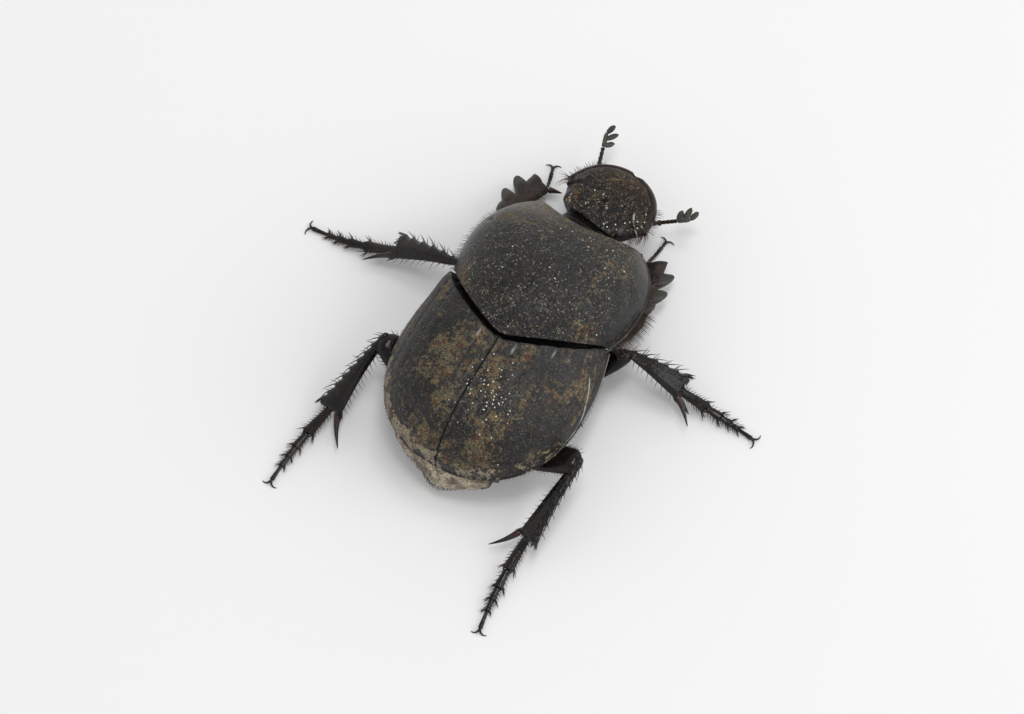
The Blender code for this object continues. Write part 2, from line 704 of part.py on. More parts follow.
def build_claws(name, root, ahead, look, group):
    """Two hooked claws, joined at their root: from above, a crescent that opens ahead."""
    aside = Vector((ahead.y, -ahead.x, 0.0))
    middle = root + ahead * (CLAW_WIDTH / 2 + CLAW_RADIUS)

    def lower(s, v):
        turn = lerp(-CLAW_SWEEP, CLAW_SWEEP, s)
        width = CLAW_WIDTH * (1.0 - CLAW_TIP_TAPER * (2.0 * s - 1.0) ** 2)
        radius = CLAW_RADIUS + width * (v - 0.5)
        point = middle - ahead * (radius * math.cos(turn)) + aside * (radius * math.sin(turn))
        point.z = 0.0
        return point

    def upper(s, v):
        return lower(s, v) + Vector((0.0, 0.0, CLAW_HEIGHT))

    slab(name, upper, lower, 11, 2, look, group)


def build_spurs(pair, side, ankle, look, group):
    """Movable spines at the inner corner of a shin's tip."""
    heading = POSE[pair, side]["tibia"][0]
    spread = POSE[pair, side]["spur"]
    inward = heading_vector(side, heading + 90 * SPUR_SIDE[pair], 0)
    for i, length in enumerate(SPUR_LENGTHS[pair]):
        steps = 6
        aim = heading_vector(side, heading + (spread - SPUR_FAN * i) * SPUR_SIDE[pair], SPUR_DIP)
        root = ankle + inward * SPUR_INSET + aim * SPUR_START
        root.z -= SECOND_SPUR_DROP * i
        path = along(root, aim, length, steps)
        radii = [lerp(*SPUR_RADII, k / (steps - 1)) for k in range(steps)]
        tube(f"spur_{pair}_{side}" + ("" if i == 0 else "_short"), path, radii, look, group, 6)


def build_legs(looks, group, sterna, cutters):
    """All six legs, from the coxae to the claws."""
    for (pair, side) in POSE:
        x, y, z = COXA_AT[pair]
        centre = (SIDES[side] * x, y, z)
        ellipsoid(f"coxa_{pair}_{side}", centre, COXA_RADII[pair], looks["leg"], group, 8, 6)
        cut_socket(sterna[pair], centre, COXA_RADII[pair], cutters)
        knee = build_femur(pair, side, looks["leg"], group)
        if pair == "fore":
            ankle, direction = build_fore_tibia(side, knee, looks["digging_shin"], group)
        else:
            ankle, direction = build_walking_tibia(pair, side, knee, looks["leg"], group)
        build_foot(pair, side, ankle, direction, looks["leg"], group)
        build_spurs(pair, side, ankle, looks["spur"], group)


# ---------------------------------------------------------------- whole animal

def centre_on_floor(group):
    """Put the middle of the animal's bounding box over the origin, feet at z = 0."""
    bpy.context.view_layer.update()
    graph = bpy.context.evaluated_depsgraph_get()
    low, high = Vector((1e9,) * 3), Vector((-1e9,) * 3)
    for thing in group.objects:
        shape = thing.evaluated_get(graph).to_mesh()
        for vert in shape.vertices:
            for k in range(3):
                low[k], high[k] = min(low[k], vert.co[k]), max(high[k], vert.co[k])
        thing.evaluated_get(graph).to_mesh_clear()
    stand = bpy.data.objects.new(ORIGIN, None)
    bpy.context.scene.collection.objects.link(stand)
    stand.location = (-(low.x + high.x) / 2, -(low.y + high.y) / 2, -low.z)
    return stand


def main():
    """Build every piece and set the animal on the floor."""
    clear_scene()
    parts = collection("dung_beetle_parts")
    cutters = collection("dung_beetle_cutters")
    looks = {
        "cuticle": make_material("cuticle", (0.030, 0.029, 0.026), 0.55),
        "leg": make_material("leg", (0.014, 0.010, 0.008), 0.25),
        "digging_shin": make_material("digging_shin", (0.050, 0.020, 0.012), 0.35),
        "spur": make_material("spur", (0.060, 0.022, 0.015), 0.30),
        "club": make_material("club", (0.050, 0.048, 0.045), 0.80),
        "membrane": make_material("membrane", (0.060, 0.030, 0.015), 0.60),
        "eye": make_material("eye", (0.012, 0.010, 0.010), 0.20),
    }
    build_pronotum(looks["cuticle"], parts)
    build_elytra(looks["cuticle"], parts)
    prothorax = trunk_section("prothorax", PROTHORAX_SPAN, PROTHORAX_ROOF_Z, looks["cuticle"], parts)
    metathorax = trunk_section("metathorax", METATHORAX_SPAN, METATHORAX_ROOF_Z, looks["cuticle"], parts)
    trunk_section("abdomen", ABDOMEN_SPAN, ABDOMEN_ROOF_Z, looks["cuticle"], parts)
    build_pygidium(looks["cuticle"], parts)
    build_head(looks, parts, cutters)
    for side in SIDES:
        build_antenna(side, looks["leg"], looks["club"], parts)
    sterna = {"fore": prothorax, "mid": metathorax, "hind": metathorax}
    build_legs(looks, parts, sterna, cutters)
    stand = centre_on_floor(parts)
    for thing in list(parts.objects) + list(cutters.objects):
        thing.parent = stand


main()
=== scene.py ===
"""Looks of the dung beetle: sculptured plates, toothed legs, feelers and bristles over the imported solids.

Lengths are in millimetres in the beetle's own frame: x to its right, y forward from the rear corner of the
pronotum, z up from the floor. Body.place() takes them to the part's frame in metres.
"""
import math
from functools import partial

import bmesh
import bpy
import numpy as np
from mathutils import Matrix, Vector


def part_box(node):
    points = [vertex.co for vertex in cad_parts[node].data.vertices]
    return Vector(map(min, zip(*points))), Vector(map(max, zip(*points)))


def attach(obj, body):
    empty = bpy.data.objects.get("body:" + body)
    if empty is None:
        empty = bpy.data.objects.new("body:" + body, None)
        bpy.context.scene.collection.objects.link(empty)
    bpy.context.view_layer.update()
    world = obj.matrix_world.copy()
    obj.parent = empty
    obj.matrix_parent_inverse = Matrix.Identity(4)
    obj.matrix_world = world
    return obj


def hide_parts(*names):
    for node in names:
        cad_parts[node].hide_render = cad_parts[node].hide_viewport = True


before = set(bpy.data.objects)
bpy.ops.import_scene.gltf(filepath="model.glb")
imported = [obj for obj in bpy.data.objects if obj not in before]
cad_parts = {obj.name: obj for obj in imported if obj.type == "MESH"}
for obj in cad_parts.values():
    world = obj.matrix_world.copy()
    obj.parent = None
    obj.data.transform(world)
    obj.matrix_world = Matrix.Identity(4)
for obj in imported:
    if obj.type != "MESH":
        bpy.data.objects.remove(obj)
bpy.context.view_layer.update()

MM = 0.001
SIDES = {"left": -1, "right": 1}
UP = (0.0, 0.0, 1.0)
SHARP_ANGLE = math.radians(50.0)
OCTAVES = 3

# Seeds of the random draws: one for each leg's hairs and spines, and one for each fringe of the body.
LEG_HAIR_SEED = 200
LEG_SPINE_SEED = 300
BODY_HAIR_SEED = 400
TAIL_HAIR_SEED = 9

# Rows and columns of points in each plate.
PRONOTUM_GRID = (170, 210)
ELYTRON_GRID = (190, 150)
TRUNK_GRID = (80, 110)
TAIL_GRID = (70, 120)
HEAD_GRID = (120, 150)

# Pronotum: the big shield behind the head.
PRONOTUM_WIDTH = 6.2
PRONOTUM_LENGTH = 4.80
PRONOTUM_WIDEST_Y = 3.0
PRONOTUM_FRONT_Y = 5.30
PRONOTUM_BASE_CORNER_X = 2.86
PRONOTUM_BASE_SLOPE = 0.52
PRONOTUM_BASE_BLUNTNESS = 0.35
PRONOTUM_BASE_SWEEP = 0.38
PRONOTUM_FRONT_HOLLOW = 0.50
PRONOTUM_CREST_Z = 4.25
PRONOTUM_CREST_AT = 0.32
PRONOTUM_BASE_Z = 3.92
PRONOTUM_FRONT_Z = 2.90
PRONOTUM_MARGIN_BASE_Z = 2.30
PRONOTUM_MARGIN_FRONT_Z = 1.72
PRONOTUM_MARGIN_BEND = 0.7
PRONOTUM_FRONT_REACH = 2.75
PRONOTUM_SQUARENESS = 2.25
PRONOTUM_CROWN = 2.5
PRONOTUM_EDGE = 0.58
PRONOTUM_PIT_AT = (2.58, 3.62)
PRONOTUM_CORNER_SOIL_AT = (2.35, 1.35)
PRONOTUM_LEDGE_SOIL_AT = (1.9, 3.9)

# Elytra: the two wing cases.
ELYTRA_WIDTH = 6.60
ELYTRA_WIDEST_Y = -0.80
ELYTRA_TAIL_LENGTH = 3.52
ELYTRA_SHOULDER_PINCH = 0.42
ELYTRA_SHOULDER_REACH = 2.6
ELYTRA_MARGIN_Z = 1.90
SHOULDER_RISE = 0.26
ELYTRA_HEIGHT = 1.93
ELYTRA_BASE_GAP = 0.08
ELYTRA_SQUARENESS = 2.2
ELYTRA_CROWN = 3.0
ELYTRA_EDGE = 0.55
ELYTRON_ROW_BUNCHING = 1.1
SUTURE_HALF_GAP = 0.011
# Painted glints gather about this place on the wing cases, where the lamps' highlight falls.
ELYTRA_PAINTED_GLINT_AT = (0.85, -1.9)
ELYTRA_COLLAR_SHARE = 0.014
ELYTRA_COLLAR_PINCH = 0.06
ELYTRA_COLLAR_REACH = 0.16
ELYTRA_COLLAR_DROP = 0.50
STRIAE = 8
SHELL_DEPTH = 0.20

# Underside.
BELLY_Z = 0.75
BELLY_HALF_WIDTH = 2.70
BELLY_CURVE = 1.7
FLANK_Z = 1.84
FLANK_INSET = 0.28
SECTIONS = {
    "prothorax": ((1.62, 4.46), (3.30, 2.40)),
    "metathorax": ((-2.24, 1.58), (2.85, 3.20)),
    "abdomen": ((-3.98, -2.26), (2.00, 2.80)),
}
STERNITES = 6
THROAT_FROM_Y = 3.45
THROAT_Z = 1.62

# Tail plate, below the tips of the elytra.
TAIL_HALF_WIDTH = 1.80
TAIL_Y = -4.50
TAIL_CURVE = 0.46
TAIL_FOOT_Z = 0.74
TAIL_TOP_Z = 1.86
TAIL_THICKNESS = (0.20, 0.50)

# Head, in its own frame: pivot on the neck, y along the head, heights from the floor.
HEAD_PIVOT = (-0.13, 4.86)
HEAD_TURN = math.radians(-10.0)
HEAD_WIDTH = 3.14
HEAD_GENA_Y = 1.40
HEAD_CLYPEUS_LENGTH = 1.56
HEAD_TEMPLE_PINCH = 0.50
HEAD_TEMPLE_BEND = 0.85
HEAD_REAR_Y = 0.36
HEAD_REAR_HOLLOW = 0.24
HEAD_SQUARENESS = 2.1
HEAD_RIM_Z = 1.42
HEAD_SLOPE = 0.25
HEAD_DOME = 0.72
HEAD_CROWN = 2.2
HEAD_EDGE = 0.65
HEAD_RIM_THICKNESS = 0.16
HEAD_CHIN_DEPTH = 0.40
NOTCH_DEPTH = 0.13
NOTCH_WIDTH = 0.20
CHEEK_REACH = 0.05
CHEEK_CENTRE = (1.80, 1.93)
CHEEK_RADIUS = 0.84
CHEEK_SEAM_Y = 1.40
CHEEK_SEAM_REACH = 0.42
# Painted glints gather about this place on the right cheek.
CHEEK_PAINTED_GLINT_AT = (1.32, 1.5)
EYE_AT = (1.03, 0.82)
EYE_RADII = (0.17, 0.30, 0.24)
EYE_SINK = 0.78
FRONT_PIT = (0.08, 1.26)
NECK_FROM = (0.0, 4.36, 1.98)
NECK_LENGTH = 1.10
NECK_DIP = 0.10
NECK_HALF_WIDTH = 1.12
NECK_FLATNESS = 0.46
MOUTH_AT = (0.0, 1.55, 0.80)
LIP_RADII = (0.34, 0.62, 0.18)
JAW_X = 0.42
JAW_RADII = (0.22, 0.60, 0.16)
PALP_X = 0.50
PALP_RADIUS = 0.075
PALP_RISE = -6.0
PALP_JOINTS = ((40, 0.20), (18, 0.20), (-6, 0.32))

# Antennae: headings in degrees outward from the head's axis.
SCAPE_ROOT = (1.00, 1.78, 0.95)
ANTENNA_HEADING = {"left": (29.0, 24.0), "right": (38.0, 56.0)}
STEM_REACH = {"left": 1.50, "right": 1.22}
STEM_RISE = 0.40
STEM_JOINTS = [(0.0, 0.50, 0.050, 0.085), (0.48, 0.60, 0.085, 0.090)]
STEM_BEADS = 4
BEAD_STEP = 0.105
CLUB_STEP = 0.21
CLUB_STALK_RADIUS = 0.075
LEAF_FANS = (70, 60, 38)
LEAF_LENGTH = 0.38
LEAF_WIDTH = 0.130
LEAF_DEPTH = 0.055
MIDDLE_LEAF_LONGER = 0.10

# Legs.
HIP = {"fore": (1.22, 3.25, 0.66), "mid": (1.30, 0.12, 0.58), "hind": (0.95, -2.42, 0.55)}
FEMUR_LENGTH = {"fore": 1.70, "mid": 2.85, "hind": 3.06}
TIBIA_LENGTH = {"fore": 2.78, "mid": 2.24, "hind": 3.00}
TARSUS_LENGTH = {"fore": 0.90, "mid": 2.95, "hind": 3.22}
FEMUR_WIDTH = {"fore": 0.95, "mid": 0.95, "hind": 1.05}
FEMUR_DEPTH = 0.52
HIP_LIFT = {"fore": 0.10, "mid": 0.16, "hind": 0.24}
HIP_TAPER_REACH = 0.42
KNEE_GAP = 0.07
KNEE_OVERLAP = {("mid", "left"): -0.40}
KNEE_TUCK = {("mid", "left"): 0.40}
KNEE_SHIFT = {("fore", "right"): (-0.24, -0.17, 0.0)}
KNEE_TAPER = {"fore": 0.11, "mid": 0.34, "hind": 0.12}
TIBIA_ROOT_RADIUS = 0.20
COXA_AT = {"fore": (0.70, 3.25, 0.84), "mid": (0.80, 0.15, 0.84), "hind": (0.80, -1.72, 0.86)}
COXA_RADII = {"fore": (0.42, 0.45, 0.38), "mid": (0.38, 0.72, 0.34), "hind": (0.55, 0.30, 0.30)}
DIGGING_BLADE = (0.24, 0.47)
DIGGING_INNER = (0.17, 0.37)
DIGGING_TILT = 0.12
DIGGING_SLANT = 0.45
DIGGING_TEETH = ((0.33, 0.46), (0.465, 0.74), (0.70, 0.81), (0.96, 0.42))
DIGGING_DEPTH = 0.20
DIGGING_TOOTH_HALF_LENGTH = 0.096
SHIN_ROOT_HALF_WIDTH = {"mid": 0.07, "hind": 0.13}
SHIN_TIP_HALF_WIDTH = {"mid": 0.43, "hind": 0.43}
SHIN_FLARE = {"mid": 0.85, "hind": 1.7}
SHIN_SHORTER = {("mid", "right"): 0.22}
SHIN_HALF_DEPTH = (0.14, 0.20)
SHIN_ARCH = 0.10
SHIN_LIP = 0.07
SAW_TEETH = {"mid": 6, "hind": 9}
SAW_HEIGHT = 0.12
SHIN_ROLL = {("hind", "right"): 30}
COMB_SPINES = 28
SPUR_SIDE = {"fore": -1, "mid": 1, "hind": 1}
SPUR_DIP = -14
SPUR_FAN = 16
SPUR_LENGTHS = {"fore": (0.36,), "mid": (1.00, 0.58), "hind": (1.05,)}
SPUR_RADIUS = (0.125, 0.014)
SPUR_BOW = 0.06
TARSUS_ROOT = {"fore": (-0.06, 0.22), "mid": (-0.08, -0.10), "hind": (-0.08, 0.0)}
TARSUS_SHARES = (0.36, 0.19, 0.13, 0.12, 0.20)
TARSUS_WIDTH = {"fore": (0.068, 0.062), "mid": (0.205, 0.082), "hind": (0.200, 0.082)}
FOOT_Z = {"fore": 0.085, "mid": 0.10, "hind": 0.10}
CLAW_LENGTH = {"fore": 0.34, "mid": 0.36, "hind": 0.34}
CLAW_TURN = (18.0, 128.0)
CLAW_RADIUS = (0.050, 0.012)

# The pose: heading (degrees outward from straight ahead) and rise (degrees above level) of the femur and
# the tibia, first and last heading of the foot with the share of its length that it reaches in plan, and
# the spread of the spurs.
POSE = {
    ("fore", "left"): {"femur": (72, 20), "tibia": (-10, -19), "tarsus": (19, 19, 1.0), "spur": 60},
    ("fore", "right"): {"femur": (90, 10), "tibia": (-17.5, -11), "tarsus": (2, 5, 1.2), "spur": 60},
    ("mid", "left"): {"femur": (45, 19), "tibia": (94, -21), "tarsus": (104, 92, 1.06), "spur": 28},
    ("mid", "right"): {"femur": (46, 21), "tibia": (87, -26), "tarsus": (86, 98, 0.93), "spur": 44},
    ("hind", "left"): {"femur": (68, 24), "tibia": (166, -27), "tarsus": (160, 180, 0.94), "spur": 44},
    ("hind", "right"): {"femur": (82, 25), "tibia": (190, -26), "tarsus": (188, 168, 1.03), "spur": 33},
}

# Camera: 66 degrees above the floor, off the beetle's right rear.
CAMERA_TARGET = (-0.275, 0.672, 0.308)
CAMERA_DISTANCE = 200.0
CAMERA_TILT = math.radians(24.0)
CAMERA_AZIMUTH = math.radians(-50.0)
CAMERA_ROLL = math.radians(32.5)
CAMERA_LENS = 217.97
CAMERA_SENSOR = 36.0
CAMERA_CLIP = (0.01, 10.0)

# Studio, in metres: the sky's strength falls between two heights of a direction (0 at the horizon, 1
# overhead), and each lamp has a place, a size and a power in watts.
SKY_FALL = {"From Min": 0.45, "From Max": 0.92, "To Min": 0.84, "To Max": 0.42}
LAMPS = {
    "softbox": ((0.22, 0.08, 0.15), 0.20, 0.26),
    "flash_right": ((0.026, 0.010, 0.245), 0.060, 0.122),
    "flash_front": ((0.015, 0.095, 0.240), 0.060, 0.080),
}
FLOOR_HALF = 0.5

# Colours of the cuticle, of the soil on it and of the highlights and sheen painted on it: linear red, green
# and blue.
SLATE = (0.0132, 0.0143, 0.0148)
CHARCOAL = (0.0070, 0.0070, 0.0073)
UMBER = (0.042, 0.029, 0.018)
PEAT = (0.017, 0.0100, 0.0065)
OLIVE = (0.074, 0.064, 0.038)
OCHRE = (0.112, 0.077, 0.038)
RUST = (0.066, 0.032, 0.018)
# Pale grains and crust, and painted highlight lines on some rims and ridges.
SAND_AND_HIGHLIGHT = (0.36, 0.30, 0.21)
# Pale dust on the granules' tips, partly painted glints.
DUST_AND_GLINT = (0.270, 0.245, 0.200)
# Near-white of painted glints and painted highlight lines, and of pale scratches.
GLINT_AND_SCRATCH_WHITE = (0.66, 0.64, 0.60)
# Painted sheen of light grazing the front of the pronotum.
PAINTED_SHEEN_COLOUR = (0.078, 0.067, 0.053)

# Colours of the other surfaces; a pair is the two that a surface varies between.
DIGGING_COLOURS = ((0.012, 0.0095, 0.0085), (0.042, 0.023, 0.015))
TOOTH_COLOUR = (0.040, 0.041, 0.033)
SPUR_ROOT_COLOURS = ((0.045, 0.015, 0.008), (0.022, 0.009, 0.007))
SPUR_TIP_COLOUR = (0.009, 0.008, 0.008)
CLUB_COLOURS = ((0.028, 0.028, 0.023), (0.072, 0.071, 0.058))
TAIL_CRUST_COLOURS = ((0.66, 0.57, 0.43), (0.19, 0.15, 0.10))
TAIL_BARE_COLOUR = (0.055, 0.046, 0.034)
TAIL_EARTH_COLOUR = (0.085, 0.062, 0.040)
TAIL_FLANK_COLOUR = (0.030, 0.024, 0.018)
MEMBRANE_COLOURS = ((0.085, 0.042, 0.022), (0.035, 0.020, 0.013))
EYE_COLOURS = ((0.020, 0.014, 0.012), (0.006, 0.005, 0.005))
HAIR_COLOURS = ((0.012, 0.010, 0.009), (0.070, 0.048, 0.032))
SPINE_COLOURS = ((0.007, 0.006, 0.006), (0.024, 0.015, 0.011))
FLOOR_COLOURS = ((0.86, 0.86, 0.86), (0.83, 0.83, 0.83))

# Glossy cuticles: the material's name, its dark and its warm colour, and where it differs from the usual,
# the least and the most roughness and the share of soil.
GLOSSES = {
    "leg": ("leg_gloss", (0.0060, 0.0058, 0.0058), (0.0125, 0.0090, 0.0075)),
    "femur": ("thigh_gloss", (0.0045, 0.0042, 0.0042), (0.0110, 0.0058, 0.0050), 0.10, 0.28, 0.06),
    "foot": ("foot_gloss", (0.0075, 0.0068, 0.0065), (0.0180, 0.0120, 0.0090)),
    "feeler": ("feeler_gloss", (0.010, 0.008, 0.007), (0.038, 0.016, 0.011)),
    "sternum": ("sternum_gloss", (0.0085, 0.0085, 0.0085), (0.020, 0.014, 0.011), 0.25, 0.55),
    "neck": ("neck_gloss", (0.011, 0.011, 0.0105), (0.018, 0.017, 0.014), 0.30, 0.55, 0.1),
    "claw": ("claw_gloss", (0.014, 0.011, 0.009), (0.050, 0.030, 0.018), 0.15, 0.3, 0.1),
}


# ---------------------------------------------------------------- small maths

def lerp(a, b, t):
    """Straight blend from a to b."""
    return a + (b - a) * t


def ramp(steps):
    """Even steps from 0 to 1."""
    return np.linspace(0.0, 1.0, steps)


def clamp(t):
    """The value, kept between 0 and 1."""
    return np.clip(t, 0.0, 1.0)


def smooth(t):
    """0 below 0, 1 above 1 and a soft step between."""
    t = clamp(t)
    return t * t * (3.0 - 2.0 * t)


def bell(t, width):
    """1 at t = 0, falling to nothing beyond the width."""
    return np.exp(-(t / width) ** 2)


def unit(vectors):
    """Vectors scaled to length 1."""
    return vectors / np.maximum(np.linalg.norm(vectors, axis=-1, keepdims=True), 1e-12)


def stack(*parts):
    """Coordinates joined into points."""
    return np.stack(np.broadcast_arrays(*parts), axis=-1).astype(float)


def cell_random(cell, salt):
    """Repeatable random numbers from 0 to 1, one for each whole-number cell."""
    mixed = cell[..., 0] * 73856093 ^ cell[..., 1] * 19349663 ^ cell[..., 2] * 83492791
    mixed = (mixed + salt * 374761393) & 0xFFFFFFFF
    mixed = ((mixed ^ (mixed >> 13)) * 1274126177) & 0xFFFFFFFF
    return ((mixed ^ (mixed >> 16)) & 0xFFFF) / 0xFFFF


def lumps(points, size, salt):
    """Smooth noise from -1 to 1 with features of that size."""
    scaled = points / size
    cell = np.floor(scaled).astype(np.int64)
    part = smooth(scaled - cell)
    total = 0.0
    for corner in np.ndindex(2, 2, 2):
        corner = np.array(corner)
        weight = np.prod(np.where(corner == 1, part, 1.0 - part), axis=-1)
        total = total + weight * cell_random(cell + corner, salt)
    return 2.0 * total - 1.0


def rough(points, size, salt):
    """Noise with finer noise on it."""
    total = 0.0
    for i in range(OCTAVES):
        total = total + lumps(points, size / 2 ** i, salt + i) / 2 ** i
    return total / (2.0 - 0.5 ** (OCTAVES - 1))


def roughened(height, size, salt):
    """A relief of rough noise with a height in millimetres, for a loft."""
    def relief(points, s, v):
        return height * rough(points, size, salt)
    return relief


def dots(points, size, salt):
    """Distance to the nearest of many scattered points, in units of their spacing, and that point's own
    random number."""
    scaled = points / size
    cell = np.floor(scaled).astype(np.int64)
    best = np.full(scaled.shape[:-1], 9.0)
    chance = np.zeros(scaled.shape[:-1])
    for offset in np.ndindex(3, 3, 3):
        near = cell + np.array(offset) - 1
        centre = near + np.stack([cell_random(near, salt + k) for k in range(3)], axis=-1)
        distance = np.linalg.norm(scaled - centre, axis=-1)
        closer = distance < best
        best = np.where(closer, distance, best)
        chance = np.where(closer, cell_random(near, salt + 3), chance)
    return best, chance


def stipple(points, size, salt, width):
    """1 at many scattered points, falling to nothing beyond a width, in units of their spacing."""
    return bell(dots(points, size, salt)[0], width)


# ---------------------------------------------------------------- placing

class Body:
    """The beetle's frame within the part's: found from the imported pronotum."""
    low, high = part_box("pronotum")
    origin = np.array([(low.x + high.x) / 2, high.y - PRONOTUM_FRONT_Y * MM, 0.0])

    @classmethod
    def place(cls, points):
        """Millimetres in the beetle's frame to metres in the part's."""
        return np.asarray(points) * MM + cls.origin


def from_head(points):
    """From the head's own frame to the body's."""
    c, s = math.cos(HEAD_TURN), math.sin(HEAD_TURN)
    x, y, z = points[..., 0], points[..., 1], points[..., 2]
    return stack(HEAD_PIVOT[0] + c * x - s * y, HEAD_PIVOT[1] + s * x + c * y, z)


def turned_by_head(direction):
    """A direction of the head's frame in the body's."""
    return from_head(np.asarray(direction, float)) - from_head(np.zeros(3))


def heading_vector(side, heading, rise):
    """Unit direction: heading outward from straight ahead on that side, rise above level, in degrees."""
    h, p = math.radians(heading), math.radians(rise)
    return np.array([SIDES[side] * math.sin(h) * math.cos(p), math.cos(h) * math.cos(p), math.sin(p)])


def limb_direction(pair, side, part):
    """Unit direction of a femur or tibia in the pose."""
    return heading_vector(side, *POSE[pair, side][part])


def mirrored(side, place):
    """A place given for the right side, on either side."""
    return np.array([SIDES[side], 1.0, 1.0]) * place


# ---------------------------------------------------------------- meshes

def add_piece(name, points, faces, look, nodes=(), marks=None):
    """A mesh piece that rides on the body and stands for some of its solids."""
    mesh = bpy.data.meshes.new(name)
    mesh.from_pydata(Body.place(points).tolist(), [], faces)
    shaper = bmesh.new()
    shaper.from_mesh(mesh)
    bmesh.ops.recalc_face_normals(shaper, faces=shaper.faces)
    shaper.to_mesh(mesh)
    shaper.free()
    mesh.shade_smooth()
    mesh.set_sharp_from_angle(angle=SHARP_ANGLE)
    for key, values in (marks or {}).items():
        mark = mesh.attributes.new(key, "FLOAT", "POINT")
        mark.data.foreach_set("value", np.asarray(values, np.float32).ravel())
    mesh.materials.append(look)
    thing = bpy.data.objects.new(name, mesh)
    bpy.context.scene.collection.objects.link(thing)
    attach(thing, "root")
    if nodes:
        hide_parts(*nodes)
    return thing


def grid_faces(rows, cols, start=0, wrap=False):
    """Quads of a grid of points, closed round its columns when it wraps."""
    faces = []
    for r in range(rows - 1):
        near, far = start + r * cols, start + (r + 1) * cols
        for c in range(cols if wrap else cols - 1):
            d = (c + 1) % cols
            faces.append((near + c, near + d, far + d, far + c))
    return faces


def grid_border(rows, cols):
    """Indices round the edge of a grid, in order."""
    south = list(range(cols))
    east = [r * cols + cols - 1 for r in range(1, rows)]
    north = [(rows - 1) * cols + c for c in range(cols - 2, -1, -1)]
    west = [r * cols for r in range(rows - 2, 0, -1)]
    return south + east + north + west


def slopes(grid, wrap=False):
    """Directions down the rows, across the columns and out of a grid of points."""
    along = np.gradient(grid, axis=0)
    if wrap:
        ring = grid[:, :-1]
        across = np.roll(ring, -1, axis=1) - np.roll(ring, 1, axis=1)
        across = np.concatenate([across, across[:, :1]], axis=1)
    else:
        across = np.gradient(grid, axis=1)
    return unit(along), unit(across), unit(np.cross(across, along))


class Skin:
    """A surface as a grid of points, which gives places on it and directions there."""

    def __init__(self, grid, wrap=False):
        self.grid = grid
        self.along, self.across, self.out = slopes(grid, wrap)
        middle = grid.shape[0] // 2
        inside = grid[middle, :-1].mean(axis=0) if wrap else grid.mean(axis=(0, 1)) - UP
        if np.sum((grid[middle] - inside) * self.out[middle]) < 0:
            self.out = -self.out

    def at(self, s, v):
        """Points and the three directions at shares s of the rows and v of the columns."""
        rows, cols = self.grid.shape[:2]
        r = clamp(np.asarray(s, float)) * (rows - 1)
        c = clamp(np.asarray(v, float)) * (cols - 1)
        i = np.minimum(r.astype(int), rows - 2)
        j = np.minimum(c.astype(int), cols - 2)
        a, b = (r - i)[..., None], (c - j)[..., None]
        found = []
        for field in (self.grid, self.along, self.across, self.out):
            near = lerp(field[i, j], field[i, j + 1], b)
            far = lerp(field[i + 1, j], field[i + 1, j + 1], b)
            found.append(lerp(near, far, a))
        return found[0], unit(found[1]), unit(found[2]), unit(found[3])


def shares(rows, cols):
    """Grids of s and v from 0 to 1."""
    return np.meshgrid(ramp(rows), ramp(cols), indexing="ij")


def plate(name, surface, relief, lower, shape, look, nodes, marks=None):
    """A closed plate: a sculptured upper surface and a plain lower one. Returns its skin."""
    s, v = shares(*shape)
    skin = Skin(surface(s, v))
    top = skin.grid + skin.out * relief(skin.grid, s, v)[..., None]
    low = lower(skin, s, v)
    rows, cols = shape
    count = rows * cols
    faces = grid_faces(rows, cols)
    faces += [face[::-1] for face in grid_faces(rows, cols, count)]
    rim = grid_border(rows, cols)
    faces += [(b, a, a + count, b + count) for a, b in zip(rim, rim[1:] + rim[:1])]
    points = np.concatenate([top.reshape(-1, 3), low.reshape(-1, 3)])
    found = marks(skin.grid, s, v) if marks else {}
    values = {key: np.tile(value.ravel(), 2) for key, value in found.items()}
    add_piece(name, points, faces, look, nodes, values)
    skin.grid = top
    return skin


def frames(path, across):
    """Directions along, to the side of and above a path."""
    ahead = unit(np.gradient(path, axis=0))
    side = unit(across - ahead * (ahead @ across)[:, None])
    return ahead, side, np.cross(ahead, side)


def rings_round(path, across, outer, inner, depth, sides=24, edge=0.0, slant=0.0):
    """A grid of rings round a path. outer and inner are the reach to either side, and depth is half the
    thickness. edge sharpens the two sides, and slant sweeps the outer side on along the path."""
    ahead, side, up = frames(path, np.asarray(across, float))
    turn = np.linspace(0.0, 2.0 * math.pi, sides + 1)
    c, s = np.cos(turn), np.sin(turn)
    reach = np.where(c > 0, np.multiply.outer(outer, c), np.multiply.outer(inner, c))
    height = np.multiply.outer(depth, s * np.abs(s) ** edge)
    grid = path[:, None] + side[:, None] * reach[..., None] + up[:, None] * height[..., None]
    return grid + ahead[:, None] * (slant * np.maximum(reach, 0.0))[..., None]


def tube(path, radius, sides, across=UP):
    """Rings of a limb that is round all along."""
    return rings_round(path, across, radius, radius, radius, sides)


def ring_mesh(grids):
    """Points and faces of closed lofts, each a grid of rings whose last column repeats the first."""
    points, faces = [], []
    start = 0
    for grid in grids:
        rows, cols = grid.shape[0], grid.shape[1] - 1
        points.append(grid[:, :-1].reshape(-1, 3))
        faces += grid_faces(rows, cols, start, wrap=True)
        faces.append(tuple(range(start + cols - 1, start - 1, -1)))
        faces.append(tuple(range(start + (rows - 1) * cols, start + rows * cols)))
        start += rows * cols
    return np.concatenate(points), faces


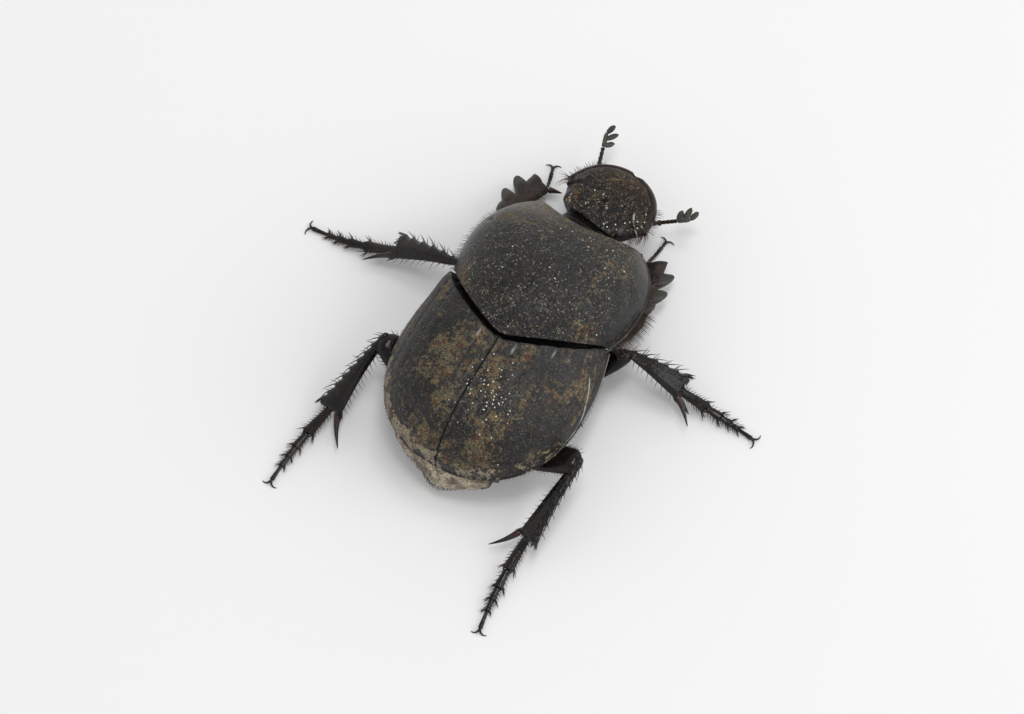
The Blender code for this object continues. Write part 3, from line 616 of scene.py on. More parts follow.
def loft_piece(name, grids, look, nodes=(), relief=None, marks=None):
    """A piece made of one or more lofts, with relief on each. Returns their skins."""
    skins = [Skin(grid, wrap=True) for grid in grids]
    values = {}
    for skin in skins:
        s, v = shares(skin.grid.shape[0], skin.grid.shape[1])
        if relief:
            skin.grid = skin.grid + skin.out * relief(skin.grid, s, v)[..., None]
            skin.grid[:, -1] = skin.grid[:, 0]
        if marks:
            for key, value in marks(skin.grid, s, v).items():
                values.setdefault(key, []).append(value[:, :-1].ravel())
    for skin in skins:
        skin.grid[..., 2] = np.maximum(skin.grid[..., 2], 0.0)
    points, faces = ring_mesh([skin.grid for skin in skins])
    values = {key: np.concatenate(value) for key, value in values.items()}
    add_piece(name, points, faces, look, nodes, values)
    return skins


def line(start, direction, length, steps):
    """Points from start along a direction."""
    return np.asarray(start) + np.outer(np.linspace(0.0, length, steps), direction)


def chain(run):
    """The points that a run of short steps passes, starting from zero."""
    return np.concatenate([np.zeros((1, 3)), np.cumsum(run, axis=0)])


def rounded_ends(steps, head, tail):
    """1 along a limb, closing in a round at both ends."""
    t = ramp(steps)
    first = clamp(1.0 - t / head)
    last = clamp(1.0 - (1.0 - t) / tail)
    return np.sqrt(np.maximum(1.0 - first ** 2, 0.0025)) * np.sqrt(np.maximum(1.0 - last ** 2, 0.0025))


def ellipsoid_rings(centre, radii, axis=(0.0, 1.0, 0.0), across=(1.0, 0.0, 0.0), steps=24, sides=32):
    """Rings of an ellipsoid: radii are to the side, along its axis and up."""
    turn = np.linspace(0.03, math.pi - 0.03, steps)
    path = np.asarray(centre) - np.outer(np.cos(turn) * radii[1], unit(np.asarray(axis, float)))
    reach = np.sin(turn)
    return rings_round(path, across, radii[0] * reach, radii[0] * reach, radii[2] * reach, sides)


# ---------------------------------------------------------------- bristles

class Bristles:
    """Many tapering hairs, gathered into one mesh."""
    STATIONS = 5
    CORNERS = 4
    SINK = 0.02
    PATCH = 0.003

    def __init__(self, seed):
        self.random = np.random.default_rng(seed)
        self.groups = []

    def add(self, skin, s, v, lean, length, radius, curl=0.0, jitter=0.12):
        """Hairs at shares s and v of a skin. lean tips them from upright towards the skin's far end, and
        curl bends their tips that way. lean and radius may vary from hair to hair."""
        s = np.asarray(s, float)
        v = np.broadcast_to(v, s.shape)
        root, along, _, out = skin.at(s, v)
        wobble = self.random.normal(0.0, jitter, root.shape)
        lean = np.radians(np.broadcast_to(lean, s.shape))[:, None]
        direction = unit(out * np.cos(lean) + along * np.sin(lean) + wobble)
        length = length * self.random.uniform(0.8, 1.15, s.shape)
        radius = np.broadcast_to(radius, s.shape)
        self.groups.append((root - out * self.SINK, direction, along * curl, length, radius, v, s))

    def build(self, name, look):
        """The mesh, with each hair's small patch of the skin's unwrap at its root."""
        columns = [np.concatenate(column) for column in zip(*self.groups)]
        root, direction, bend, length, radius, u, w = columns
        count = len(root)
        t = ramp(self.STATIONS)
        helper = np.where(np.abs(direction[:, 2:]) > 0.8, [[1.0, 0.0, 0.0]], [[0.0, 0.0, 1.0]])
        side = unit(np.cross(direction, helper))
        up = np.cross(direction, side)
        reach = direction[:, None] * t[:, None] + bend[:, None] * (t ** 2)[:, None]
        centre = root[:, None] + length[:, None, None] * reach
        width = radius[:, None] * np.maximum(1.0 - t ** 1.5, 0.06)
        turn = 2.0 * math.pi * np.arange(self.CORNERS) / self.CORNERS
        ring = side[:, None] * np.cos(turn)[:, None] + up[:, None] * np.sin(turn)[:, None]
        points = centre[:, :, None] + width[:, :, None, None] * ring[:, None]
        points[..., 2] = np.maximum(points[..., 2], 0.002)
        size = self.STATIONS * self.CORNERS
        pattern = grid_faces(self.STATIONS, self.CORNERS, wrap=True)
        pattern.append(tuple(range(self.CORNERS - 1, -1, -1)))
        pattern.append(tuple(range(size - self.CORNERS, size)))
        faces = [tuple(size * k + i for i in face) for k in range(count) for face in pattern]
        shade = np.repeat(self.random.uniform(0.0, 1.0, count), size)
        thing = add_piece(name, points.reshape(-1, 3), faces, look, marks={"shade": shade})
        self.unwrap(thing.data, np.stack([u, w], axis=-1), size)
        return thing

    def unwrap(self, mesh, places, size):
        """Each hair takes a patch about its root's place on the unwrap of the skin."""
        chart = mesh.uv_layers.new(name="OFBake")
        index = np.empty(len(mesh.loops), np.int32)
        mesh.loops.foreach_get("vertex_index", index)
        hair, point = index // size, index % size
        column = (point % self.CORNERS) / (self.CORNERS - 1) - 0.5
        row = (point // self.CORNERS) / (self.STATIONS - 1) - 0.5
        inside = self.PATCH + places[hair] * (1.0 - 2.0 * self.PATCH)
        chart.data.foreach_set("uv", (inside + self.PATCH * np.stack([column, row], axis=-1)).ravel())


# ---------------------------------------------------------------- materials

class Look:
    """Short-hand for building one material's nodes."""

    def __init__(self, name):
        self.material = bpy.data.materials.new(name)
        self.material.use_nodes = True
        self.tree = self.material.node_tree
        self.shader = self.tree.nodes["Principled BSDF"]
        self.place = self.node("TexCoord").outputs["Object"]

    def node(self, kind, inputs=None, **settings):
        """A node with its settings and inputs; an input is a number, a colour or another node's output."""
        made = self.tree.nodes.new("ShaderNode" + kind)
        for key, value in settings.items():
            setattr(made, key, value)
        for key, value in (inputs or {}).items():
            if isinstance(value, bpy.types.NodeSocket):
                self.tree.links.new(value, made.inputs[key])
            else:
                made.inputs[key].default_value = value
        return made

    def noise(self, size, detail=3.0, roughness=0.55, place=None):
        """Noise with features of a size in millimetres."""
        inputs = {"Vector": place or self.place, "Scale": 1.0 / (size * MM)}
        inputs.update({"Detail": detail, "Roughness": roughness})
        return self.node("TexNoise", inputs).outputs["Fac"]

    def shifted(self, metres):
        """The place, moved, so that a noise read there is a different one."""
        return self.node("VectorMath", {0: self.place, 1: (metres,) * 3}, operation="ADD").outputs["Vector"]

    def cells(self, size, randomness=1.0):
        """Distance from the middle of cells of a size in millimetres."""
        inputs = {"Vector": self.place, "Scale": 1.0 / (size * MM), "Randomness": randomness}
        return self.node("TexVoronoi", inputs).outputs["Distance"]

    def specks(self, size, reach, share):
        """1 in small spots in the middle of cells of a size in millimetres, 0 elsewhere. A larger share, up
        to 1, gives more of the cells a spot."""
        cell = self.node("TexVoronoi", {"Vector": self.place, "Scale": 1.0 / (size * MM)}).outputs
        spot = self.span(cell["Distance"], 0.6 * reach, reach, 1.0, 0.0)
        return self.times(spot, self.maths("LESS_THAN", cell["Color"], share))

    def scaled(self, colour, factor):
        """A colour made lighter or darker by a factor."""
        return self.node("VectorMath", {0: colour, "Scale": factor}, operation="SCALE").outputs["Vector"]

    def mark(self, key):
        """A value that the mesh carries at its points."""
        return self.node("Attribute", attribute_name=key).outputs["Fac"]

    def maths(self, operation, a, b):
        """A sum, product or the like of two values."""
        return self.node("Math", {0: a, 1: b}, operation=operation).outputs[0]

    def times(self, a, b):
        """The product of two values."""
        return self.maths("MULTIPLY", a, b)

    def span(self, value, low, high, to_low=0.0, to_high=1.0):
        """A value taken from one range to another and kept in it."""
        inputs = {"Value": value, "From Min": low, "From Max": high, "To Min": to_low, "To Max": to_high}
        return self.node("MapRange", inputs).outputs["Result"]

    def blend(self, factor, a, b):
        """Colour a where the factor is 0, b where it is 1."""
        made = self.node("Mix", data_type="RGBA")
        for slot, value in ((0, factor), (6, a), (7, b)):
            if isinstance(value, bpy.types.NodeSocket):
                self.tree.links.new(value, made.inputs[slot])
            else:
                made.inputs[slot].default_value = (*value, 1.0) if slot else value
        return made.outputs[2]

    def bump(self, height, distance, strength, normal=None):
        """A normal that follows a height, for a relief of a depth in millimetres, over another normal."""
        inputs = {"Height": height, "Distance": distance * MM, "Strength": strength}
        if normal:
            inputs["Normal"] = normal
        return self.node("Bump", inputs).outputs["Normal"]

    def finish(self, colour, roughness, normal, **fixed):
        """Link the surface and set what is the same all over it."""
        for key, value in (("Base Color", colour), ("Roughness", roughness), ("Normal", normal)):
            if isinstance(value, bpy.types.NodeSocket):
                self.tree.links.new(value, self.shader.inputs[key])
            elif value is not None:
                self.shader.inputs[key].default_value = value
        for key, value in fixed.items():
            self.shader.inputs[key.replace("_", " ")].default_value = value
        return self.material


def bare_cuticle(look, warmth):
    """Charcoal and slate in clouds, browner in places, browner still where the mesh's marks say, and
    lighter with a painted sheen where they mark it.
    """
    cloud = look.span(look.noise(0.55, 3.0), 0.40, 0.60)
    tint = look.span(look.noise(0.16, 3.0, 0.6, look.shifted(0.71)), 0.46, 0.62)
    colour = look.blend(cloud, CHARCOAL, SLATE)
    colour = look.blend(look.times(tint, 0.30 + warmth), colour, UMBER)
    colour = look.blend(look.mark("brown"), colour, PEAT)
    # Painted sheen of grazing light where the mesh marks it.
    return look.blend(look.mark("film"), colour, PAINTED_SHEEN_COLOUR)


def soil_colour(look):
    """Soil of three browns that change from patch to patch."""
    hue = look.noise(0.30, 3.0, 0.6)
    colour = look.blend(look.span(hue, 0.45, 0.53), OLIVE, OCHRE)
    return look.blend(look.span(hue, 0.56, 0.61), colour, RUST)


def broken_up(look, key, speckle):
    """A mark of the mesh with a ragged edge."""
    return look.maths("ADD", look.mark(key), look.maths("SUBTRACT", speckle, 1.0))


def cuticle_specks(look, colour, sand_and_highlight, painted_glint_amount):
    """Pale tips of the granules, partly dust and partly painted glints; pale grains and crust with painted
    highlight lines on rims and ridges; crumbs; painted glints; and painted highlight lines with pale
    scratches.
    """
    # The granules' pale tips: partly dust, partly painted glints.
    dust_and_glint_patches = look.span(look.noise(0.20, 3.0, 0.6, look.shifted(0.13)), 0.42, 0.64, 0.10, 1.2)
    tips = look.times(look.times(look.specks(0.085, 0.36, 0.66), look.mark("grain")), dust_and_glint_patches)
    colour = look.blend(look.times(tips, painted_glint_amount), colour, DUST_AND_GLINT)
    colour = look.blend(look.times(sand_and_highlight, 0.85), colour, SAND_AND_HIGHLIGHT)
    crumbs = look.times(look.specks(0.36, 0.15, 0.16), look.mark("grain"))
    colour = look.blend(look.times(crumbs, 0.75), colour, SAND_AND_HIGHLIGHT)
    # Painted glints in near-white, and painted highlight lines with pale scratches.
    painted_glints = look.specks(0.118, 0.25, look.mark("spark"))
    return look.blend(look.maths("MAXIMUM", painted_glints, look.mark("worn")), colour, GLINT_AND_SCRATCH_WHITE)


def cuticle_look(name, warmth, painted_glint_amount, shine):
    """Charcoal cuticle with fine pale-tipped granules, soil of several browns in irregular patches, and
    painted glints, highlight lines and sheen where the mesh marks them. warmth browns the bare cuticle, and
    the next argument lightens the tips of its granules, partly as dust and partly as painted glints."""
    look = Look(name)
    fine = look.noise(0.042, 4.0, 0.65)
    speckle = look.span(look.noise(0.17, 4.0, 0.68), 0.34, 0.66)
    crust = look.span(broken_up(look, "soil", speckle), -0.08, 0.36, 0.0, 0.90)
    # Pale crust and grains, with painted highlight lines on some rims and ridges.
    pale = look.span(broken_up(look, "pale", speckle), 0.0, 0.30)
    sand_and_highlight = look.times(pale, look.span(fine, 0.42, 0.56, 0.20, 1.0))
    colour = look.blend(crust, bare_cuticle(look, warmth), soil_colour(look))
    colour = look.scaled(colour, look.span(fine, 0.36, 0.64, 0.20, 2.3))
    colour = cuticle_specks(look, colour, sand_and_highlight, painted_glint_amount)
    gloss = look.span(look.maths("MAXIMUM", crust, sand_and_highlight), 0.0, 1.0, 0.36, 0.75)
    gloss = look.maths("SUBTRACT", gloss, look.times(look.mark("polish"), 0.20))
    rise = look.times(look.span(look.cells(0.105), 0.0, 0.55, 1.0, 0.0), look.mark("grain"))
    normal = look.bump(fine, 0.010, 0.9, look.bump(rise, 0.022, 1.0))
    return look.finish(colour, gloss, normal, Specular_IOR_Level=shine)


def leg_look(name, dark, warm, low=0.12, high=0.32, soil=0.16):
    """Glossy dark cuticle with fine punctures, redder in places, and a little soil. low and high are its
    least and its most roughness."""
    look = Look(name)
    patch = look.span(look.noise(0.7, 3.0), 0.42, 0.66)
    fine = look.noise(0.06, 3.0)
    grain = look.cells(0.11)
    colour = look.blend(patch, dark, warm)
    speckle = look.span(look.noise(0.20, 4.0, 0.65), 0.56, 0.72)
    colour = look.blend(look.times(speckle, soil), colour, OCHRE)
    gloss = look.span(speckle, 0.0, 1.0, low, high)
    gloss = look.maths("ADD", gloss, look.span(fine, 0.3, 0.7, 0.0, 0.14))
    normal = look.bump(look.span(grain, 0.0, 0.35), 0.012, 0.6)
    normal = look.bump(fine, 0.004, 0.5, normal)
    return look.finish(colour, gloss, normal, Specular_IOR_Level=0.28)


def digging_look():
    """Red-brown cuticle of the digging shins, greyer and smoother on the teeth."""
    look = Look("digging_cuticle")
    tooth = look.mark("tooth")
    fine = look.noise(0.07, 4.0)
    streak = look.span(look.noise(0.30, 4.0), 0.38, 0.66)
    colour = look.blend(streak, *DIGGING_COLOURS)
    colour = look.blend(look.times(tooth, 0.85), colour, TOOTH_COLOUR)
    gloss = look.span(fine, 0.3, 0.7, 0.26, 0.48)
    normal = look.bump(look.cells(0.12), 0.014, 0.6)
    normal = look.bump(fine, 0.006, 0.6, normal)
    return look.finish(colour, gloss, normal, Specular_IOR_Level=0.32)


def spur_look():
    """Spurs: red-brown at the root, black towards the point."""
    look = Look("spur_horn")
    fine = look.noise(0.09, 3.0)
    root = look.blend(look.span(fine, 0.35, 0.65), *SPUR_ROOT_COLOURS)
    colour = look.blend(look.span(look.mark("tip"), 0.05, 0.55), root, SPUR_TIP_COLOUR)
    normal = look.bump(fine, 0.006, 0.5)
    return look.finish(colour, look.span(fine, 0.3, 0.7, 0.18, 0.34), normal)


def club_look():
    """Velvety grey antennal leaves."""
    look = Look("club_velvet")
    fine = look.noise(0.035, 3.0)
    cloud = look.noise(0.25, 2.0)
    colour = look.blend(look.span(cloud, 0.35, 0.65), *CLUB_COLOURS)
    gloss = look.span(fine, 0.3, 0.7, 0.65, 0.9)
    normal = look.bump(fine, 0.010, 0.9)
    return look.finish(colour, gloss, normal, Sheen_Weight=0.12, Sheen_Roughness=0.4)


def tail_look():
    """Tail plate under a pale crust of dried soil, darker on its flanks."""
    look = Look("tail_crust")
    fine = look.noise(0.06, 4.0)
    cloud = look.span(look.noise(0.30, 4.0, 0.65), 0.36, 0.54)
    crust = look.blend(look.span(fine, 0.38, 0.62), *TAIL_CRUST_COLOURS)
    colour = look.blend(cloud, TAIL_BARE_COLOUR, crust)
    broad = look.span(look.noise(0.9, 3.0, 0.6, look.shifted(0.29)), 0.44, 0.62, 0.0, 0.7)
    colour = look.blend(broad, colour, TAIL_EARTH_COLOUR)
    colour = look.blend(look.mark("flank"), colour, TAIL_FLANK_COLOUR)
    normal = look.bump(look.cells(0.10), 0.020, 0.9)
    normal = look.bump(fine, 0.010, 0.8, normal)
    return look.finish(colour, look.span(cloud, 0.0, 1.0, 0.5, 0.9), normal)


def membrane_look():
    """Brown mouthparts and joints."""
    look = Look("mouth_membrane")
    fine = look.noise(0.08, 4.0)
    colour = look.blend(look.span(fine, 0.35, 0.65), *MEMBRANE_COLOURS)
    return look.finish(colour, look.span(fine, 0.3, 0.7, 0.35, 0.6), look.bump(fine, 0.010, 0.8))


def eye_look():
    """Black eye of many small facets."""
    look = Look("eye_facets")
    facet = look.cells(0.022, randomness=0.25)
    colour = look.blend(look.span(facet, 0.3, 0.6), *EYE_COLOURS)
    return look.finish(colour, look.span(facet, 0.2, 0.7, 0.08, 0.2), look.bump(facet, -0.006, 0.7))


def bristle_look(name, dark, light):
    """Bristles, each with its own shade."""
    look = Look(name)
    fine = look.noise(0.05, 2.0)
    colour = look.blend(look.mark("shade"), dark, light)
    colour = look.blend(look.span(fine, 0.3, 0.7, 0.0, 0.3), colour, dark)
    return look.finish(colour, look.span(fine, 0.3, 0.7, 0.3, 0.5), look.bump(fine, 0.003, 0.4))


# ---------------------------------------------------------------- shell plates

def dome(radius, crown, edge):
    """Height of a shell from 1 at its crown to 0 at its margin."""
    return (1.0 - clamp(radius) ** crown) ** edge


def spot(x, y, centre, reach, width):
    """1 at a centre, falling to nothing beyond an oval that spans reach times width in x and y."""
    return bell(np.hypot((x - centre[0]) / reach[0], (y - centre[1]) / reach[1]), width)


def rounded(t, power):
    """Outline of a rounded end: 1 at its root, 0 at its tip."""
    return (1.0 - clamp(np.abs(t)) ** power) ** (1 / power)


def pronotum_base_y(x):
    """The rear margin: two nearly straight arms that meet in a blunt corner at the midline."""
    span = np.abs(x) / PRONOTUM_BASE_CORNER_X
    arm = np.hypot(x, PRONOTUM_BASE_BLUNTNESS) - PRONOTUM_BASE_BLUNTNESS
    return PRONOTUM_BASE_SLOPE * arm + PRONOTUM_BASE_SWEEP * span ** 5


def pronotum_half_width(y):
    """Half width of the pronotum at its side margin."""
    pinch = (PRONOTUM_WIDEST_Y - y) / (PRONOTUM_WIDEST_Y - pronotum_base_y(PRONOTUM_BASE_CORNER_X))
    rear = lerp(PRONOTUM_WIDTH / 2, PRONOTUM_BASE_CORNER_X, clamp(pinch) ** 2)
    ahead = np.clip(y - PRONOTUM_WIDEST_Y, 0, None) / PRONOTUM_FRONT_REACH
    front = PRONOTUM_WIDTH / 2 * rounded(ahead, PRONOTUM_SQUARENESS)
    return np.where(y < PRONOTUM_WIDEST_Y, rear, front)


def pronotum_surface(s, v):
    """The pronotum: s from its base to its front, v from left to right."""
    u = np.sin((v - 0.5) * math.pi)
    corner_y = pronotum_base_y(PRONOTUM_BASE_CORNER_X)
    half = pronotum_half_width(lerp(corner_y, PRONOTUM_FRONT_Y, s))
    front_y = PRONOTUM_LENGTH + PRONOTUM_FRONT_HOLLOW * u * u
    y = lerp(pronotum_base_y(u * PRONOTUM_BASE_CORNER_X), front_y, s)
    behind = (np.clip(PRONOTUM_CREST_AT - s, 0, None) / PRONOTUM_CREST_AT) ** 2
    ahead = (np.clip(s - PRONOTUM_CREST_AT, 0, None) / (1.0 - PRONOTUM_CREST_AT)) ** 2
    crest = PRONOTUM_CREST_Z - (PRONOTUM_CREST_Z - PRONOTUM_BASE_Z) * behind
    crest = crest - (PRONOTUM_CREST_Z - PRONOTUM_FRONT_Z) * ahead
    margin = lerp(PRONOTUM_MARGIN_BASE_Z, PRONOTUM_MARGIN_FRONT_Z, s ** PRONOTUM_MARGIN_BEND)
    z = lerp(margin, crest, dome(np.abs(u), PRONOTUM_CROWN, PRONOTUM_EDGE))
    return stack(u * half, y, z)


def side_gap(v):
    """How far a point lies from the side margins, as a share of the half arc."""
    return 1.0 - np.abs(2.0 * v - 1.0)


def pronotum_relief(points, s, v):
    """Punctures and fine granules, a raised rim, a pit by each side and a faint dent on the midline."""
    x, y = points[..., 0], points[..., 1]
    gap = side_gap(v)
    pit, chance = dots(points, 0.135, 11)
    height = 0.020 * lumps(points, 1.1, 13) - 0.005 * bell(pit, 0.34) * (chance > 0.2)
    height = height + 0.002 * stipple(points, 0.10, 12, 0.3)
    height = height * smooth(gap / 0.05)
    height = height + 0.045 * bell(gap - 0.012, 0.010) - 0.030 * bell(gap - 0.045, 0.014)
    height = height + 0.008 * bell(s - 0.006, 0.008) + 0.020 * bell(s - 0.992, 0.008)
    height = height - 0.035 * bell(x, 0.10) * bell(s - 0.26, 0.16)
    for sign in (-1, 1):
        pit = np.hypot(x - sign * PRONOTUM_PIT_AT[0], y - PRONOTUM_PIT_AT[1])
        height = height - 0.07 * bell(pit, 0.14)
    return height


def pronotum_marks(points, s, v):
    """Soil in patches, more along the front and at the corners, less in the middle and on the bare band
    along each side; pale grains and a painted highlight on the rim, scattered painted glints, and a painted
    sheen on the front, strongest at the left."""
    x, y = points[..., 0], points[..., 1]
    gap = side_gap(v)
    patch = rough(points, 0.75, 21)
    band = bell(gap - 0.24, 0.11) * smooth((y - 0.8) / 1.0)
    front = smooth((y - 4.0) / 0.7)
    corner = spot(np.abs(x), y, PRONOTUM_CORNER_SOIL_AT, (0.7, 0.6), 0.8)
    ledge = spot(np.abs(x), y, PRONOTUM_LEDGE_SOIL_AT, (1.1, 0.35), 0.8)
    middle = spot(x, y, (0.0, 2.7), (1.9, 1.5), 0.9)
    soil = 0.26 + 0.50 * patch + 0.16 * front + 0.34 * corner + 0.34 * ledge - 0.45 * band - 0.22 * middle
    soil = soil * smooth((gap - 0.03) / 0.06)
    # Pale grains and a painted highlight along the rim.
    pale = 0.62 * bell(gap - 0.015, 0.012) * smooth(0.4 + patch)
    grain = (1.35 - 1.20 * band) * smooth((gap - 0.05) / 0.10)
    # Painted glints, scattered over the granules.
    spark = (0.085 + 0.05 * smooth(1.5 * rough(points, 1.2, 23))) * grain
    # Painted sheen of grazing light on the front, strongest at the left.
    film = 0.80 * front * smooth(1.2 + patch) * (0.30 + 0.70 * smooth((-x - 0.1) / 1.2))
    return {"soil": clamp(soil), "pale": pale, "grain": grain, "polish": 0.3 * band,
            "spark": spark, "film": film}


def shell_lower(skin, s, v):
    """The inner face of a shell plate."""
    return skin.grid - skin.out * SHELL_DEPTH


def build_pronotum(looks):
    """The shield of the front body."""
    return plate("pronotum_shield", pronotum_surface, pronotum_relief, shell_lower, PRONOTUM_GRID,
                 looks["cuticle"], ["pronotum"], pronotum_marks)


def elytra_half_width(y):
    """Half width ahead of the widest place, narrowing to the shoulders."""
    pinch = clamp((y - ELYTRA_WIDEST_Y) / ELYTRA_SHOULDER_REACH)
    return ELYTRA_WIDTH / 2 - ELYTRA_SHOULDER_PINCH * pinch ** 2


def elytra_radius(x, y):
    """0 on the ridge of the wing cases, 1 on their margin."""
    across = np.abs(x) / (ELYTRA_WIDTH / 2)
    back = np.clip(ELYTRA_WIDEST_Y - y, 0.0, None) / ELYTRA_TAIL_LENGTH
    rear = (across ** ELYTRA_SQUARENESS + back ** ELYTRA_SQUARENESS) ** (1 / ELYTRA_SQUARENESS)
    return np.where(y >= ELYTRA_WIDEST_Y, np.abs(x) / elytra_half_width(y), rear)


def elytron_margin_z(y):
    """Height of a wing case's side margin, which rises at the shoulder."""
    return ELYTRA_MARGIN_Z + SHOULDER_RISE * smooth((y - 0.2) / 1.4)


def elytron_surface(side, s, v):
    """A wing case: s from its base to its tip, v from the suture to the side margin. A narrow collar at the
    base dips under the pronotum."""
    u = np.sin(v * math.pi / 2)
    base_y = pronotum_base_y(u * PRONOTUM_BASE_CORNER_X) - ELYTRA_BASE_GAP * (1.0 - 0.8 * u ** 3)
    tail_y = ELYTRA_WIDEST_Y - ELYTRA_TAIL_LENGTH * rounded(u, ELYTRA_SQUARENESS)
    y = lerp(base_y, tail_y, np.sin(s * math.pi / 2) ** ELYTRON_ROW_BUNCHING)
    x = np.maximum(u * elytra_half_width(y), SUTURE_HALF_GAP)
    rise = dome(elytra_radius(x, y), ELYTRA_CROWN, ELYTRA_EDGE)
    z = lerp(elytron_margin_z(y), ELYTRA_MARGIN_Z + ELYTRA_HEIGHT, rise)
    collar = clamp(1.0 - s / ELYTRA_COLLAR_SHARE)
    x = SIDES[side] * x * (1.0 - ELYTRA_COLLAR_PINCH * collar)
    return stack(x, y + ELYTRA_COLLAR_REACH * collar, z - ELYTRA_COLLAR_DROP * np.sqrt(collar))


def elytron_relief(points, s, v):
    """Faint dimpled grooves with gently raised intervals, granules, a raised suture, a rim and a bulge at
    the shoulder."""
    height = 0.022 * lumps(points, 1.2, 31)
    dimple = 0.5 + 0.5 * np.cos(2.0 * math.pi * s * 17.0)
    for k in range(1, STRIAE):
        place = v - k / STRIAE
        height = height - 0.016 * bell(place, 0.006) - 0.007 * bell(place, 0.009) * dimple
    height = height + 0.004 * (1.0 - np.cos(2.0 * math.pi * STRIAE * v))
    grain, chance = dots(points, 0.17, 32)
    pit = stipple(points, 0.12, 33, 0.32)
    height = height + 0.010 * bell(grain, 0.22) * (chance > 0.35) - 0.005 * pit
    margin = np.minimum(1.0 - v, (1.0 - s) * 0.8)
    height = height * smooth(margin / 0.05)
    height = height + 0.040 * bell(v - 0.010, 0.010) - 0.022 * bell(v - 0.035, 0.012)
    height = height + 0.026 * bell(margin - 0.010, 0.009) - 0.024 * bell(margin - 0.035, 0.012)
    return height + 0.07 * bell(np.hypot((v - 0.72) * 3.0, (s - 0.08) * 4.0), 0.35)


def elytron_marks(side, points, s, v):
    """Soil in streaks along the wing case, thicker by the suture and towards the tip, and a pale crust on
    the hind rim; painted highlight lines on the rear of the right one's suture, along the side margin and
    on the right one's crease above it; pale scratches on the bases of the grooves; and painted glints,
    gathered about one place on the right one."""
    lengthwise = stack(v * 7.0, s * 2.6, np.full_like(s, 3.0 * SIDES[side]))
    streak = rough(lengthwise, 0.8, 41)
    patch = rough(points, 0.55, 42)
    rear = smooth((s - 0.45) / 0.5)
    suture = bell(v - 0.10, 0.12)
    soil = 0.35 + 0.75 * streak + 0.72 * patch + 0.24 * rear + 0.20 * suture
    x, y = np.abs(points[..., 0]), points[..., 1]
    inside = (1.0 - elytra_radius(x, y)) * ELYTRA_WIDTH / 2
    crust = bell(inside - 0.06, 0.20 if side == "left" else 0.09) * smooth((-1.2 - y) / 1.0)
    crust = crust * smooth(0.60 + 1.3 * rough(points, 0.3, 43)) * (1.2 if side == "left" else 0.85)
    # Painted highlight lines along the side margin and on the right one's crease above it.
    climb = np.hypot(inside, points[..., 2] - elytron_margin_z(y))
    crease_at = 0.12 + 0.80 * clamp((y + 1.20) / 1.68) ** 1.6
    crease = bell(climb - crease_at, 0.024) * smooth((0.52 - y) / 0.25)
    edge = bell(1.0 - v - 0.012, 0.006) * smooth((y + 0.95) / 0.3)
    worn = np.maximum(crease if side == "right" else 0.0, 0.6 * edge) * smooth((y + 2.1) / 0.6)
    worn = worn * smooth(0.8 + 1.6 * rough(points, 0.5, 44))
    at_groove = bell((v * STRIAE + 0.5) % 1.0 - 0.5, 0.05)
    scratch = at_groove * bell(s - 0.070, 0.028) * smooth(2.2 * rough(points, 0.35, 46))
    # Painted glints, gathered about one place on the right wing case; the granules' pale tips thicken there
    # too.
    painted_glint_amount = spot(points[..., 0], y, ELYTRA_PAINTED_GLINT_AT, (1.0, 1.0), 1.0)
    spark = 0.065 + 0.62 * painted_glint_amount + 0.07 * smooth(1.5 * rough(points, 1.0, 45))
    bare = smooth((s - 0.020) / 0.008)
    # A painted highlight line along the right one's suture.
    crest = 0.55 * bell(v - 0.016, 0.006) * smooth((s - 0.35) / 0.2) if side == "right" else 0.0
    soil = clamp(soil * smooth((inside - 0.02) / 0.08)) * bare * smooth((v - 0.006) / 0.01)
    grain = (0.55 + 0.45 * painted_glint_amount) * smooth(inside / 0.10) * bare
    worn = np.maximum(0.75 * worn, 0.45 * scratch) * bare
    return {"soil": soil, "pale": clamp(crust + crest), "grain": grain, "worn": worn,
            "spark": spark * bare}


def build_elytra(looks):
    """The two wing cases, meeting at the suture."""
    skins = {}
    for side in SIDES:
        skins[side] = plate("wing_case_" + side, partial(elytron_surface, side), elytron_relief,
                            shell_lower, ELYTRON_GRID, looks["cuticle"], ["elytron_" + side],
                            partial(elytron_marks, side))
    return skins


# ---------------------------------------------------------------- trunk beneath the shell

def belly_z(x):
    """Height of the underside."""
    return lerp(BELLY_Z, FLANK_Z, clamp(np.abs(x) / BELLY_HALF_WIDTH) ** BELLY_CURVE)


def trunk_half_width(y):
    """Half width of the trunk, inside the shell plates."""
    back = np.clip(ELYTRA_WIDEST_Y - y, 0.0, None) / (ELYTRA_TAIL_LENGTH - FLANK_INSET / 2)
    rear = (ELYTRA_WIDTH / 2 - FLANK_INSET) * rounded(back, ELYTRA_SQUARENESS)
    under_pronotum = y > SECTIONS["prothorax"][0][0]
    fore = np.where(under_pronotum, pronotum_half_width(y), elytra_half_width(y)) - FLANK_INSET
    return np.where(y < ELYTRA_WIDEST_Y, rear, fore)


def trunk_surface(span, roof, below, s, v):
    """The roof or the underside of one length of the trunk."""
    y = lerp(span[0], span[1], s)
    u = np.sin((v - 0.5) * math.pi)
    x = u * trunk_half_width(y)
    throat = smooth((y - THROAT_FROM_Y) / (SECTIONS["prothorax"][0][1] - THROAT_FROM_Y))
    under = np.maximum(belly_z(x), lerp(belly_z(x), THROAT_Z, throat))
    z = under if below else lerp(FLANK_Z + 0.12, lerp(roof[0], roof[1], s), rounded(u, 2.0))
    return stack(x, y, z)


